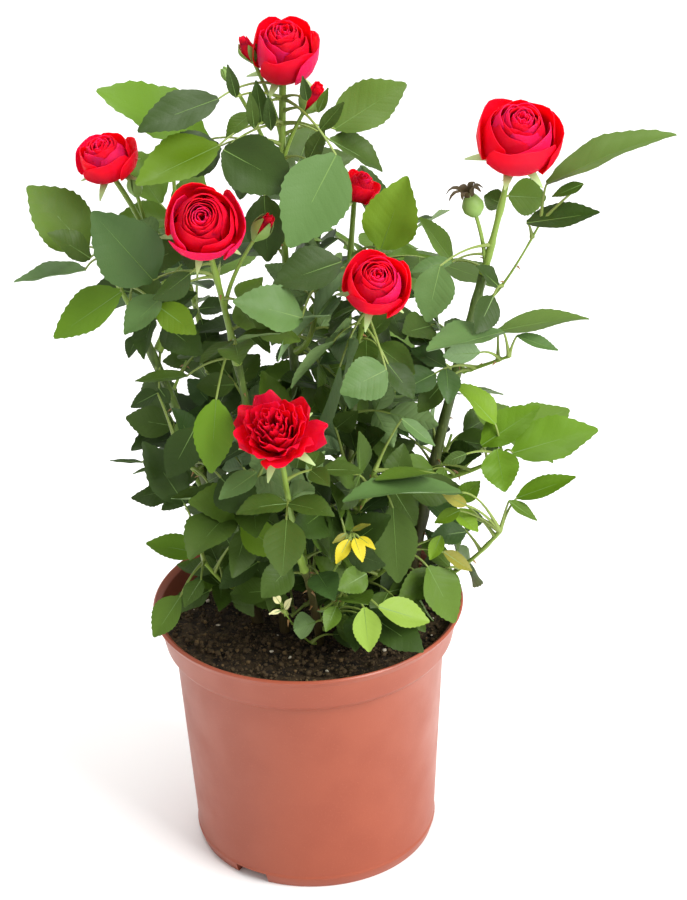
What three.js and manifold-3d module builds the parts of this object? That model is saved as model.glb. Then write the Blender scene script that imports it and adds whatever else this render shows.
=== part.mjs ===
// A miniature rose bush, grown in a round nursery pot. Millimetres, Z up.
// The origin is the middle of the pot's underside; the plant's front faces -Y and its right side +X.
// Woody canes rise from the soil, and each carries leafy shoots that end in blooms or buds.
// A leaf is tried against all that stands already: it is turned until it is clear, or it is left out.

import * as THREE from 'three';
import { mergeVertices } from 'three/addons/utils/BufferGeometryUtils.js';
import Module from 'manifold-3d';

const wasm = await Module();
wasm.setup();

const UP = new THREE.Vector3(0, 0, 1);
const radians = THREE.MathUtils.degToRad;
const lerp = THREE.MathUtils.lerp;

// Distance between pieces that meet.
const GAP = 0.3;

// Points closer than this to a flat face's plane are part of that face: of one shape, and of a joined body.
const FLAT = 0.002;
const CLEAN = 0.03;

// Grids for the corners of a joined body, the finest first.
const GRIDS = [0.01, 0.012, 0.014, 0.017, 0.02, 0.024];

// The pot: a 12 cm pot, measured over its lip.
const POT = {
  rimRadius: 60,
  height: 103,
  bandHeight: 16,
  bandFootRadius: 55.3,
  shoulderRadius: 52.1,
  footRadius: 47.3,
  footHeight: 5.4,
  wall: 1.3,
  ringWidth: 4,
  lipWidth: 3,
  bevel: 0.9,
  padRadius: 13,
  channelHeight: 4,
  segments: 36,
};
const NOTCHES = { count: 3, firstAngle: 236, width: 14, depth: 12, height: 4.4 };
const DRAINS = { count: 6, circle: 29, radius: 3.5, sides: 8 };

// The soil stands a little under the lip, lower along the wall.
const SOIL = { level: 95, edgeDrop: 2, edgeWidth: 8 };

// Canes: foot on the soil [x, y], tip [x, y, z], radius at the foot and at the tip,
// and how upright each one starts, from 0 for a straight one to 1.
const CANES = {
  cane_left: { foot: [-19, -2], tip: [-56, -8, 222], root: 2.3, end: 1.5, upright: 0.15 },
  cane_mid_left: { foot: [-9, -10], tip: [-22, -20, 214], root: 2.0, end: 1.3, upright: 0.3 },
  cane_centre: { foot: [2, 8], tip: [-3, 6, 232], root: 2.4, end: 1.5, upright: 0.2 },
  cane_front: { foot: [4, -20], tip: [-1, -42, 140], root: 1.6, end: 1.3, upright: 0.5 },
  cane_mid_right: { foot: [13, -3], tip: [21, -10, 208], root: 2.1, end: 1.4, upright: 0.4 },
  cane_right: { foot: [37, 6], tip: [68, -3, 238], root: 2.5, end: 1.6, upright: 0.2 },
  cane_back_left: { foot: [-14, 20], tip: [-36, 38, 200], root: 2.0, end: 1.3, upright: 0.3 },
  cane_back_right: { foot: [16, 22], tip: [30, 44, 206], root: 2.0, end: 1.3, upright: 0.3 },
};
const CANE_SIDES = 6;
const CANE_STEPS = 6;
// Length of a cane that is cut off at the soil.
const CANE_SPARE = 3;

// Shoots: the cane that bears them, where on it they start (1 is its tip), and where their stem ends.
// A bloom sits on the stem's end. Buds [where on the stem, x, y, z, radius] have their own stalks.
// Leaves are [where on the stem, x, y, z, length of the end leaflet, size of the side ones as a share of it],
// with x, y and z at the leaf's tip; the share may be left out.
// Spray leaves are dealt round the stem by the seeded rule, from the first direction in degrees.
const SHOOTS = [
  {
    name: 'top_bloom_shoot', cane: 'cane_centre', at: 1, tip: [-1, 5, 309],
    bloom: { radius: 14, height: 25, petals: 5 },
    buds: [[0.72, -12, 6, 320, 3.2], [0.62, 6, 0, 303, 4.2], [0.5, -21, 4, 309, 2.9]],
    leaves: [[0.42, -66, 8, 311, 38], [0.3, -54, -14, 280, 36], [0.46, 42, 12, 306, 37],
      [0.2, -24, -30, 284, 34], [0.34, 33, 0, 280, 30],
      [0.55, -28, -10, 299, 24]],
    spray: { count: 2, first: 75 },
  },
  {
    name: 'bloom_shoot_mid_left', cane: 'cane_mid_left', at: 1, tip: [-30, -33, 263],
    facing: [0, -0.75, 0.66],
    bloom: { radius: 15, height: 24, petals: 5 },
    buds: [[0.45, -13, -30, 268, 3.6]],
    leaves: [[0.4, -50, -38, 254, 33], [0.2, 3, -42, 239, 34], [0.55, 18, -28, 252, 30]],
    spray: { count: 1, first: 200 },
  },
  {
    name: 'left_shoot', cane: 'cane_left', at: 1, tip: [-68, -8, 252],
    leaves: [[0.45, -94, 0, 277, 33], [0.5, -101, -13, 246, 28], [0.05, -86, -28, 231, 30],
      [0.12, -61, -38, 234, 30]],
    spray: { count: 1, first: 100 },
  },
  {
    name: 'left_bloom_shoot', cane: 'cane_left', at: 0.93, tip: [-65, -2, 281],
    bloom: { radius: 11.5, height: 18, petals: 5 },
    buds: [[0.6, -55, -4, 275, 2.8]],
    leaves: [[0.2, -70, -22, 272, 36], [0.3, -38, 22, 262, 32]],
    spray: { count: 1, first: 60 },
  },
  {
    name: 'centre_spray', cane: 'cane_centre', at: 0.82, tip: [8, -12, 252],
    leaves: [[0.45, 17, -22, 293, 40], [0.6, 18, -44, 246, 34], [0.3, -22, -44, 226, 32],
      [0.2, 4, -46, 221, 30]],
    spray: { count: 2, first: 300 },
  },
  {
    name: 'bloom_shoot_mid_right', cane: 'cane_mid_right', at: 1, tip: [27, -33, 239],
    facing: [0.1, -0.6, 0.8],
    bloom: { radius: 13, height: 21, petals: 5 },
    leaves: [[0.5, 47, -38, 232, 30], [0.2, 36, -50, 213, 34]],
    spray: { count: 2, first: 110 },
  },
  {
    name: 'bloom_shoot_back', cane: 'cane_mid_right', at: 0.88, tip: [19, 10, 258], facing: [0.6, 0, 0.8],
    bloom: { radius: 8.5, height: 17, petals: 4 },
    leaves: [[0.4, 44, 4, 270, 34], [0.15, 57, 2, 244, 34]],
    spray: { count: 1, first: 100 },
  },
  {
    name: 'right_bloom_shoot', cane: 'cane_right', at: 1, tip: [77, -5, 276],
    bloom: { radius: 16, height: 26, petals: 5 },
    buds: [[0.05, 65, -4, 264, 4]],
    leaves: [[0.3, 90, 30, 268, 28], [0.12, 46, 6, 256, 26]],
    spray: { count: 1, first: 130 },
  },
  {
    name: 'right_tip_shoot', cane: 'cane_right', at: 0.93, tip: [88, -9, 260],
    leaves: [[0.8, 134, -10, 296, 48, 0.5], [0.6, 107, -18, 264, 27, 0.7], [0.5, 96, 12, 250, 24]],
    spray: { count: 0, first: 0 },
  },
  {
    name: 'right_mid_spray', cane: 'cane_right', at: 0.74, tip: [76, -18, 212],
    leaves: [[0.5, 106, -14, 227, 34], [0.3, 37, -26, 219, 36], [0.9, 98, -24, 216, 24, 0.7],
      [0.2, 52, -6, 232, 26]],
    spray: { count: 0, first: 0 },
  },
  {
    name: 'right_low_spray', cane: 'cane_right', at: 0.42, tip: [74, -12, 168],
    leaves: [[0.6, 109, -15, 182, 38], [0.8, 73, -42, 164, 27], [0.3, 68, 4, 190, 28]],
    spray: { count: 2, first: 30 },
  },
  {
    name: 'right_twig_spray', cane: 'cane_right', at: 0.1, tip: [72, -26, 144],
    leaves: [[0.95, 100, -31, 167, 24], [0.7, 60, -48, 150, 24, 0.7]],
    spray: { count: 1, first: 110 },
  },
  {
    name: 'low_right_spray', cane: 'cane_mid_right', at: 0.16, tip: [36, -20, 133],
    leaves: [[0.6, 58, -34, 109, 28], [0.9, 40, -44, 130, 30], [0.9, 62, -14, 140, 28]],
    spray: { count: 1, first: 90 },
  },
  {
    name: 'right_back_spray', cane: 'cane_right', at: 0.3, tip: [58, 30, 156],
    leaves: [[0.8, 80, 42, 160, 32]],
    spray: { count: 2, first: 75 },
  },
  {
    name: 'centre_low_spray', cane: 'cane_mid_right', at: 0.45, tip: [26, -34, 176],
    leaves: [[0.6, 10, -56, 170, 34], [0.85, 46, -54, 182, 32]],
    spray: { count: 2, first: 250 },
  },
  {
    name: 'front_bloom_shoot', cane: 'cane_front', at: 1, tip: [-5, -57, 193], facing: [-0.1, -0.6, 0.8],
    bloom: { radius: 16.5, height: 23, petals: 6 },
    leaves: [[0.3, -33, -53, 174, 30], [0.1, 3, -68, 152, 28]],
    spray: { count: 1, first: 30 },
  },
  {
    name: 'low_front_spray', cane: 'cane_front', at: 0.35, tip: [14, -36, 128],
    leaves: [[0.9, 22, -60, 108, 24], [0.6, 47, -50, 117, 24], [0.3, 4, -56, 113, 22]],
    spray: { count: 1, first: 200 },
  },
  {
    name: 'left_mid_spray', cane: 'cane_left', at: 0.56, tip: [-46, -24, 186],
    leaves: [[0.6, -60, -26, 182, 30], [0.7, -33, -52, 180, 36], [0.3, -63, -8, 193, 24]],
    spray: { count: 1, first: 320 },
  },
  {
    name: 'low_left_spray', cane: 'cane_left', at: 0.16, tip: [-38, -26, 136],
    leaves: [[0.9, -60, -32, 147, 28], [0.5, -57, -40, 113, 26], [0.7, -36, -54, 128, 26]],
    spray: { count: 1, first: 120 },
  },
  {
    name: 'mid_left_spray', cane: 'cane_mid_left', at: 0.52, tip: [-20, -36, 178],
    leaves: [[0.6, -46, -46, 160, 30]],
    spray: { count: 2, first: 250 },
  },
  {
    name: 'left_back_spray', cane: 'cane_left', at: 0.4, tip: [-50, 18, 172],
    leaves: [[0.8, -58, 42, 182, 30], [0.4, -56, 36, 154, 28]],
    spray: { count: 1, first: 70 },
  },
  {
    name: 'back_left_shoot', cane: 'cane_back_left', at: 1, tip: [-44, 46, 244],
    buds: [[0.9, -44, 48, 262, 3.6]],
    leaves: [[0.8, -64, 64, 266, 34]],
    spray: { count: 4, first: 80 },
  },
  {
    name: 'back_right_shoot', cane: 'cane_back_right', at: 1, tip: [32, 52, 226],
    buds: [[0.9, 31, 54, 240, 3.6]],
    leaves: [[0.8, 48, 72, 218, 34]],
    spray: { count: 3, first: 60 },
  },
  {
    name: 'back_left_spray', cane: 'cane_back_left', at: 0.45, tip: [-32, 50, 168],
    leaves: [[0.8, -48, 82, 178, 32]],
    spray: { count: 3, first: 100 },
  },
  {
    name: 'back_right_spray', cane: 'cane_back_right', at: 0.45, tip: [30, 54, 170],
    leaves: [[0.8, 44, 86, 180, 32]],
    spray: { count: 3, first: 60 },
  },
];

// Stems and stalks.
const SHOOT = { root: 1.5, end: 1.0, sides: 4, steps: 5 };
const STALK = { root: 0.9, end: 0.7, sides: 3, steps: 3 };
const SIDE_LEAN = 0.6;
const RIB_SIDES = 3;
const RIB_STEPS = 2;

// Compound leaves: leaflets in pairs along a rib, and one at its end.
const LEAF = {
  width: 0.58,
  thickness: 0.65,
  fold: 0.22,
  endRows: [[0.3, 1], [0.68, 0.8]],
  sideRows: [[0.4, 1.1]],
  stalk: 0.3,
  ribRoot: 0.9,
  ribEnd: 0.72,
  ribArch: 0.11,
  ribClear: 0.3,
  sideShare: 0.84,
  pairBack: 0.32,
  shortestStalk: 0.14,
  longestEnd: 0.68,
  spread: 63,
  sunk: -0.15,
  endSunk: 0.2,
  endShare: 0.97,
  tipArch: 0.7,
  sideDroop: [0.04, 0.14],
  sideLift: [-0.1, 0.16],
  sideSize: [0.92, 1.05],
  sideSway: 6,
  sideRoll: 14,
};
// Blooms: rows of radius and height as shares of the bloom's, and the lobes as a share of the row's radius.
const BLOOM = {
  rows: [[0, -0.14, 0], [0.5, 0.08, 0], [0.86, 0.42, 0.04], [0.94, 0.86, 0.12], [0.7, 0.74, -0.04],
    [0.55, 1, -0.08], [0, 0.86, 0]],
  sepalLength: 0.95,
  sepalWidth: 0.3,
  sepalLift: -0.1,
  sepalFold: 0.1,
  sepalDroop: 0.12,
};
// Buds: rows of radius and height as shares of the bud's radius.
const BUD = { rows: [[0, -0.3], [0.4, -0.2], [0.85, 0.5], [1, 1.2], [0.7, 2], [0, 3]], sides: 6 };
// Leaves turn their upper face to the light, and outwards from the middle of the bush.
const LIGHT = { front: -0.3, up: 0.85, outward: [0.3, 0.5] };

// The seeded rule for spray leaves.
const SPRAY = { turn: 137.5, sway: 12, lift: [-8, 32], reach: [46, 62], size: [26, 33], from: 0.15, to: 0.9 };

// Each try at a leaf strays further, in degrees, turns its face by up to so many times that, and shrinks it.
const ATTEMPTS = 11;
const STRAY = { placed: 1.3, spray: 7 };
const TWIST = 2;
const SHRINK = 0.012;
// Room kept round a leaflet.
const MARGIN = 1.5 * GAP;
const SEED = 7;

class Dice {
  // Random numbers that come out the same for the same seed.
  constructor(seed) {
    this.state = (Math.imul(seed, 2654435761) + 12345) >>> 0;
    for (let warm = 0; warm < 3; warm += 1) this.next();
  }

  next() {
    this.state = (Math.imul(this.state, 1664525) + 1013904223) >>> 0;
    return this.state / 4294967296;
  }

  between(low, high) {
    return low + (high - low) * this.next();
  }
}

class Space {
  // What stands already, with its owner's name.
  constructor() {
    this.taken = [];
  }

  add(solid, owner) {
    this.taken.push({ solid, owner, box: solid.boundingBox() });
  }

  isFree(solid, exceptOwners = []) {
    const box = solid.boundingBox();
    const apart = (other) => [0, 1, 2].some(
      (i) => other.min[i] > box.max[i] || other.max[i] < box.min[i],
    );
    return !this.taken.some((item) => {
      if (exceptOwners.includes(item.owner) || apart(item.box)) return false;
      const shared = solid.intersect(item.solid);
      const touches = !shared.isEmpty();
      shared.delete();
      return touches;
    });
  }
}

function vector(list) {
  return new THREE.Vector3(...list);
}

// A closed geometry as a solid.
function solidOf(geometry) {
  const bare = geometry.clone();
  bare.deleteAttribute('normal');
  bare.deleteAttribute('uv');
  const merged = mergeVertices(bare, 1e-4);
  const triVerts = new Uint32Array(merged.index.array);
  const vertProperties = merged.getAttribute('position').array;
  const solid = new wasm.Manifold(new wasm.Mesh({ numProp: 3, vertProperties, triVerts }));
  if (solid.volume() > 0) return solid.simplify(FLAT);
  const outward = new wasm.Mesh({ numProp: 3, vertProperties, triVerts: triVerts.reverse() });
  return new wasm.Manifold(outward).simplify(FLAT);
}

// A solid as a named mesh of its own colour.
function meshOf(name, solid, finish) {
  const { numProp, vertProperties, triVerts } = solid.getMesh();
  const positions = new Float32Array(vertProperties.filter((_, i) => i % numProp < 3));
  const geometry = new THREE.BufferGeometry();
  geometry.setAttribute('position', new THREE.BufferAttribute(positions, 3));
  geometry.setIndex([...triVerts]);
  const mesh = new THREE.Mesh(geometry, new THREE.MeshStandardMaterial(finish));
  mesh.name = name;
  return mesh;
}

// Whether each edge of a surface belongs to exactly two of its faces.
function isClosed(faces) {
  const uses = new Map();
  for (let i = 0; i < faces.length; i += 3) {
    for (let k = 0; k < 3; k += 1) {
      const ends = [faces[i + k], faces[i + ((k + 1) % 3)]].sort((a, b) => a - b).join(' ');
      uses.set(ends, (uses.get(ends) || 0) + 1);
    }
  }
  return [...uses.values()].every((count) => count === 2);
}

// The largest body of a solid.
function largest(solid) {
  return solid.decompose().reduce((most, body) => (body.volume() > most.volume() ? body : most));
}

// A solid with its corners on a grid: those that fall together become one, and faces left without area go.
function snapped(solid, grid) {
  const { vertProperties, triVerts } = solid.getMesh();
  const geometry = new THREE.BufferGeometry();
  const onGrid = vertProperties.map((value) => Math.round(value / grid) * grid);
  geometry.setAttribute('position', new THREE.BufferAttribute(onGrid, 3));
  geometry.setIndex([...triVerts]);
  const merged = mergeVertices(geometry, grid / 2);
  const corners = merged.index.array;
  const faces = [];
  for (let i = 0; i < corners.length; i += 3) {
    const [a, b, c] = corners.slice(i, i + 3);
    if (a !== b && b !== c && c !== a) faces.push(a, b, c);
  }
  if (!isClosed(faces)) return null;
  const positions = merged.getAttribute('position').array;
  return new wasm.Manifold(new wasm.Mesh({
    numProp: 3, vertProperties: positions, triVerts: new Uint32Array(faces),
  }));
}

// Join solids into one body: loose scraps are dropped and sealed hollows are filled.
function join(solids) {
  const whole = largest(wasm.Manifold.union(solids)).asOriginal().simplify(CLEAN);
  for (const grid of GRIDS) {
    const body = snapped(whole, grid);
    if (body) return largest(body);
  }
  return whole;
}

// A lathe turned about Z.
function turned(profile, segments) {
  const points = profile.map(([radius, height]) => new THREE.Vector2(radius, height));
  return new THREE.LatheGeometry(points, segments).rotateX(Math.PI / 2);
}

// A tapering round limb along a curve: a straight cylinder bent along it, ring by ring.
function limb(curve, rootRadius, endRadius, sides, steps) {
  const rings = [];
  let side = null;
  for (let i = 0; i <= steps; i += 1) {
    const tangent = curve.getTangent(i / steps);
    const guide = Math.abs(tangent.z) < 0.9 ? UP : new THREE.Vector3(1, 0, 0);
    side = side || guide.clone().cross(tangent);
    side = side.clone().addScaledVector(tangent, -side.dot(tangent)).normalize();
    rings.push({ centre: curve.getPoint(i / steps), side, other: side.clone().cross(tangent) });
  }
  const shape = new THREE.CylinderGeometry(1, 1, 1, sides, steps);
  const position = shape.getAttribute('position');
  for (let i = 0; i < position.count; i += 1) {
    const along = position.getY(i) + 0.5;
    const ring = rings[Math.round(along * steps)];
    const radius = lerp(rootRadius, endRadius, along);
    const point = ring.centre.clone()
      .addScaledVector(ring.side, position.getX(i) * radius)
      .addScaledVector(ring.other, position.getZ(i) * radius);
    position.setXYZ(i, point.x, point.y, point.z);
  }
  return solidOf(shape);
}

// A curve that leaves one point in a given direction and ends at another.
function sweepTo(start, direction, end, pull = 0.4) {
  const control = start.clone().addScaledVector(direction, start.distanceTo(end) * pull);
  return new THREE.QuadraticBezierCurve3(start, control, end);
}

// The part of a curve beyond a place on it.
function beyond(curve, at) {
  return new THREE.QuadraticBezierCurve3(curve.getPoint(at), curve.v1.clone().lerp(curve.v2, at), curve.v2);
}

// A point of a leaflet's surface: t runs from its root to its tip, s from edge to edge.
function leafletPoint(leaflet, t, halfWidth, s, lift) {
  const { root, along, across, normal, length, fold, droop } = leaflet;
  return root.clone()
    .addScaledVector(along, length * t)
    .addScaledVector(across, halfWidth * s)
    .addScaledVector(normal, Math.abs(s) * halfWidth * fold - droop * length * t * t + lift);
}

// A leaflet: a thin lens, folded along its midrib, with its edges where both faces meet.
// Its root is a short stalk of three sides. With a margin it is the space that the leaflet needs.
function leafletSolid(leaflet, margin = 0) {
  const end = 1 + margin / leaflet.length;
  const points = [
    leafletPoint(leaflet, 0, leaflet.stalk, 1, 0),
    leafletPoint(leaflet, 0, leaflet.stalk, -1, 0),
    leafletPoint(leaflet, 0, 0, 0, -leaflet.stalk),
    leafletPoint(leaflet, end, 0, 0, 0),
  ];
  const faces = [0, 2, 1];
  const [rootLeft, rootRight, rootUnder, tip] = [0, 1, 2, 3];
  const rows = leaflet.rows.map(([t, share]) => {
    const halfWidth = leaflet.width * 0.5 * share + margin;
    points.push(leafletPoint(leaflet, t, halfWidth, 1, 0));
    points.push(leafletPoint(leaflet, t, halfWidth, -1, 0));
    points.push(leafletPoint(leaflet, t, halfWidth, 0, margin));
    points.push(leafletPoint(leaflet, t, halfWidth, 0, -leaflet.thickness - margin));
    const first = points.length - 4;
    return { left: first, right: first + 1, upper: first + 2, under: first + 3 };
  });
  faces.push(rootLeft, rootRight, rows[0].upper);
  // Half of the leaflet's skin: its upper or under face, from the root stalk to the tip.
  const cover = (layer, rootMiddles, turn) => {
    const face = (a, b, c) => faces.push(...(turn ? [a, c, b] : [a, b, c]));
    const near = rows[0];
    face(rootRight, near.right, near[layer]);
    face(near.left, rootLeft, near[layer]);
    for (const middle of rootMiddles) {
      face(middle, rootRight, near[layer]);
      face(rootLeft, middle, near[layer]);
    }
    rows.slice(1).forEach((far, i) => {
      const before = rows[i];
      face(before[layer], before.right, far.right);
      face(before[layer], far.right, far[layer]);
      face(before[layer], far[layer], far.left);
      face(before[layer], far.left, before.left);
    });
    const last = rows[rows.length - 1];
    face(last[layer], last.right, tip);
    face(last[layer], tip, last.left);
  };
  cover('upper', [], false);
  cover('under', [rootUnder], true);
  const geometry = new THREE.BufferGeometry().setFromPoints(points);
  geometry.setIndex(faces);
  return solidOf(geometry);
}

// A leaflet that grows from a root point along a direction, with its upper face towards a normal.
function leafletAt(root, along, facing, length, options = {}) {
  const normal = facing.clone().addScaledVector(along, -facing.dot(along)).normalize();
  const across = normal.clone().cross(along);
  const { thickness, fold, stalk, sideRows } = LEAF;
  const plain = { width: length * LEAF.width, thickness, fold, stalk, rows: sideRows, droop: 0.08 };
  return { root, along, across, normal, length, ...plain, ...options };
}

// The direction that a leaf at this place turns its upper face to.
function lightAt(place) {
  const outward = new THREE.Vector3(place.x, place.y, 0);
  if (outward.length() > 0) outward.normalize();
  return new THREE.Vector3(
    outward.x * LIGHT.outward[0],
    outward.y * LIGHT.outward[1] + LIGHT.front,
    LIGHT.up,
  ).normalize();
}

// A compound leaf from its node on the stem to its tip: its rib and its leaflets, the end one first.
function compoundLeaf(node, tip, size, sideShare, twist, dice) {
  const reach = node.distanceTo(tip);
  const endSize = Math.min(size, reach * LEAF.longestEnd);
  const arch = LEAF.ribArch * reach;
  const ribEnd = node.clone().lerp(tip, 1 - (endSize * LEAF.endShare) / reach)
    .addScaledVector(UP, arch * LEAF.tipArch);
  const crest = node.clone().lerp(ribEnd, 0.5).addScaledVector(UP, arch);
  const rib = new THREE.QuadraticBezierCurve3(node, crest, ribEnd);
  const ribLength = rib.getLength();
  const along = tip.clone().sub(ribEnd).normalize();
  const facing = lightAt(tip).applyAxisAngle(along, twist);
  const root = ribEnd.clone().addScaledVector(along, -LEAF.endSunk);
  const endShape = { droop: 0, rows: LEAF.endRows };
  const leaflets = [leafletAt(root, along, facing, root.distanceTo(tip), endShape)];
  const back = endSize * LEAF.pairBack;
  if (back > ribLength - endSize * LEAF.shortestStalk) return { rib, leaflets };
  const place = 1 - back / ribLength;
  const ribAlong = rib.getTangent(place);
  const up = facing.clone().addScaledVector(ribAlong, -facing.dot(ribAlong)).normalize();
  const sideways = up.clone().cross(ribAlong);
  for (const hand of [1, -1]) {
    const spread = radians(LEAF.spread + dice.between(-LEAF.sideSway, LEAF.sideSway));
    const direction = ribAlong.clone().multiplyScalar(Math.cos(spread))
      .addScaledVector(sideways, hand * Math.sin(spread))
      .addScaledVector(up, dice.between(...LEAF.sideLift)).normalize();
    const roll = radians(dice.between(-LEAF.sideRoll, LEAF.sideRoll));
    const tilted = up.clone().applyAxisAngle(direction, roll);
    const sideRoot = rib.getPoint(place).addScaledVector(direction, -LEAF.sunk);
    const length = endSize * sideShare * dice.between(...LEAF.sideSize);
    const droop = dice.between(...LEAF.sideDroop);
    leaflets.push(leafletAt(sideRoot, direction, tilted, length, { droop }));
  }
  return { rib, leaflets };
}

// Grow one leaf where it is clear of all that stands: the best of several tries is kept.
function growLeaf(space, shoot, leaf, seed) {
  const dice = new Dice(seed);
  const node = shoot.stem.getPoint(leaf.at);
  const reach = leaf.tip.clone().sub(node);
  const level = new THREE.Vector3(-reach.y, reach.x, 0).normalize();
  let best = null;
  for (let attempt = 0; attempt < ATTEMPTS; attempt += 1) {
    const stray = radians(leaf.stray * attempt);
    const turnedReach = reach.clone()
      .applyAxisAngle(level, dice.between(-stray, stray))
      .applyAxisAngle(UP, dice.between(-stray, stray))
      .multiplyScalar(1 - SHRINK * attempt);
    const twist = dice.between(-TWIST, TWIST) * stray;
    const size = leaf.size * (1 - SHRINK * attempt);
    const tries = compoundLeaf(node, node.clone().add(turnedReach), size, leaf.sideShare, twist, dice);
    const ribNeeds = limb(tries.rib, LEAF.ribRoot + GAP, LEAF.ribEnd + GAP, RIB_SIDES, RIB_STEPS);
    if (!space.isFree(ribNeeds, [shoot.stemOwner, shoot.name])) continue;
    const outer = beyond(tries.rib, LEAF.ribClear);
    const ribBeyond = limb(outer, LEAF.ribEnd + GAP, LEAF.ribEnd + GAP, RIB_SIDES, 1);
    if (!space.isFree(ribBeyond, [shoot.stemOwner])) continue;
    const clear = tries.leaflets.filter((one) => space.isFree(leafletSolid(one, MARGIN)));
    if (clear[0] !== tries.leaflets[0]) continue;
    if (best && clear.length <= best.leaflets.length) continue;
    best = { rib: tries.rib, leaflets: clear };
    if (clear.length === tries.leaflets.length) break;
  }
  if (!best) return [];
  const rib = limb(best.rib, LEAF.ribRoot, LEAF.ribEnd, RIB_SIDES, RIB_STEPS);
  const solids = [rib, ...best.leaflets.map((one) => leafletSolid(one))];
  solids.forEach((solid) => space.add(solid, shoot.name));
  return solids;
}

// The leaves of a shoot: those with a place of their own, then the spray leaves, dealt round the stem.
function leavesOf(shoot, seed) {
  const placed = shoot.leaves.map(([at, x, y, z, size, sideShare = LEAF.sideShare]) => (
    { at, tip: new THREE.Vector3(x, y, z), size, sideShare, stray: STRAY.placed }));
  const dice = new Dice(seed);
  const dealt = [];
  for (let i = 0; i < shoot.spray.count; i += 1) {
    const at = lerp(SPRAY.from, SPRAY.to, (i + 0.5) / shoot.spray.count);
    const sway = dice.between(-SPRAY.sway, SPRAY.sway);
    const azimuth = radians(shoot.spray.first + i * SPRAY.turn + sway);
    const lift = radians(dice.between(...SPRAY.lift));
    const reach = dice.between(...SPRAY.reach);
    const tip = shoot.stem.getPoint(at).add(new THREE.Vector3(
      Math.cos(azimuth) * Math.cos(lift),
      Math.sin(azimuth) * Math.cos(lift),
      Math.sin(lift),
    ).multiplyScalar(reach));
    const size = dice.between(...SPRAY.size);
    dealt.push({ at, tip, size, sideShare: LEAF.sideShare, stray: STRAY.spray });
  }
  return [...placed, ...dealt];
}

// A bloom: a cup of outer petals with a lobed lip, the inner petals standing in it, and sepals under it.
function bloomSolid(base, facing, { radius, height, petals }) {
  const profile = BLOOM.rows.map(([r, z]) => [r * radius, z * height]);
  const cup = turned(profile, 2 * petals);
  const position = cup.getAttribute('position');
  for (let i = 0; i < position.count; i += 1) {
    const angle = Math.atan2(position.getY(i), position.getX(i));
    const lobe = 1 + BLOOM.rows[i % profile.length][2] * Math.cos(petals * angle);
    position.setXYZ(i, position.getX(i) * lobe, position.getY(i) * lobe, position.getZ(i));
  }
  const turn = new THREE.Quaternion().setFromUnitVectors(UP, facing);
  const solids = [solidOf(cup.applyQuaternion(turn).translate(base.x, base.y, base.z))];
  for (let i = 0; i < petals; i += 1) {
    const angle = radians((360 / petals) * (i + 0.5));
    const outward = new THREE.Vector3(Math.cos(angle), Math.sin(angle), 0);
    const along = outward.clone().addScaledVector(UP, BLOOM.sepalLift).normalize().applyQuaternion(turn);
    const upper = UP.clone().addScaledVector(outward, -BLOOM.sepalLift).applyQuaternion(turn);
    const sepal = { width: BLOOM.sepalWidth * radius, fold: BLOOM.sepalFold, droop: BLOOM.sepalDroop };
    solids.push(leafletSolid(leafletAt(base.clone(), along, upper, BLOOM.sepalLength * radius, sepal)));
  }
  return wasm.Manifold.union(solids);
}

// A closed bud on the end of a stalk.
function budSolid(base, facing, radius) {
  const bud = turned(BUD.rows.map(([r, z]) => [r * radius, z * radius]), BUD.sides);
  bud.applyQuaternion(new THREE.Quaternion().setFromUnitVectors(UP, facing));
  return solidOf(bud.translate(base.x, base.y, base.z));
}

function buildPot() {
  const { rimRadius, height, bandFootRadius, shoulderRadius, footRadius, footHeight } = POT;
  const { wall, ringWidth, padRadius, channelHeight, lipWidth, bevel, segments } = POT;
  const bandFoot = height - POT.bandHeight;
  const floor = channelHeight + wall;
  const profile = [
    [0, 0], [padRadius, 0], [padRadius + 2 * bevel, channelHeight],
    [footRadius - ringWidth - 2 * bevel, channelHeight], [footRadius - ringWidth, 0],
    [footRadius - bevel, 0], [footRadius + bevel / 2, footHeight - bevel], [footRadius, footHeight],
    [shoulderRadius, bandFoot - bevel], [bandFootRadius - bevel, bandFoot],
    [bandFootRadius + bevel / 2, bandFoot + 2],
    [rimRadius - lipWidth + bevel, height - lipWidth - bevel], [rimRadius - bevel, height - lipWidth + bevel],
    [rimRadius, height - bevel], [rimRadius - bevel, height],
    [rimRadius - lipWidth, height - 2 * bevel], [bandFootRadius - wall, bandFoot + 2 * bevel],
    [shoulderRadius - wall, bandFoot - 2 * bevel], [footRadius - wall, floor],
    [padRadius + bevel, floor], [padRadius - bevel, wall], [0, wall],
  ];
  let pot = solidOf(turned(profile, segments));
  for (let i = 0; i < NOTCHES.count; i += 1) {
    const notch = new THREE.BoxGeometry(NOTCHES.depth, NOTCHES.width, 2 * NOTCHES.height);
    notch.translate(footRadius, 0, 0).rotateZ(radians(NOTCHES.firstAngle + (360 / NOTCHES.count) * i));
    pot = pot.subtract(solidOf(notch));
  }
  for (let i = 0; i < DRAINS.count; i += 1) {
    const drain = new THREE.CylinderGeometry(DRAINS.radius, DRAINS.radius, 4 * wall, DRAINS.sides);
    drain.rotateX(Math.PI / 2).translate(DRAINS.circle, 0, floor).rotateZ(radians((360 / DRAINS.count) * i));
    pot = pot.subtract(solidOf(drain));
  }
  return pot;
}

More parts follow.
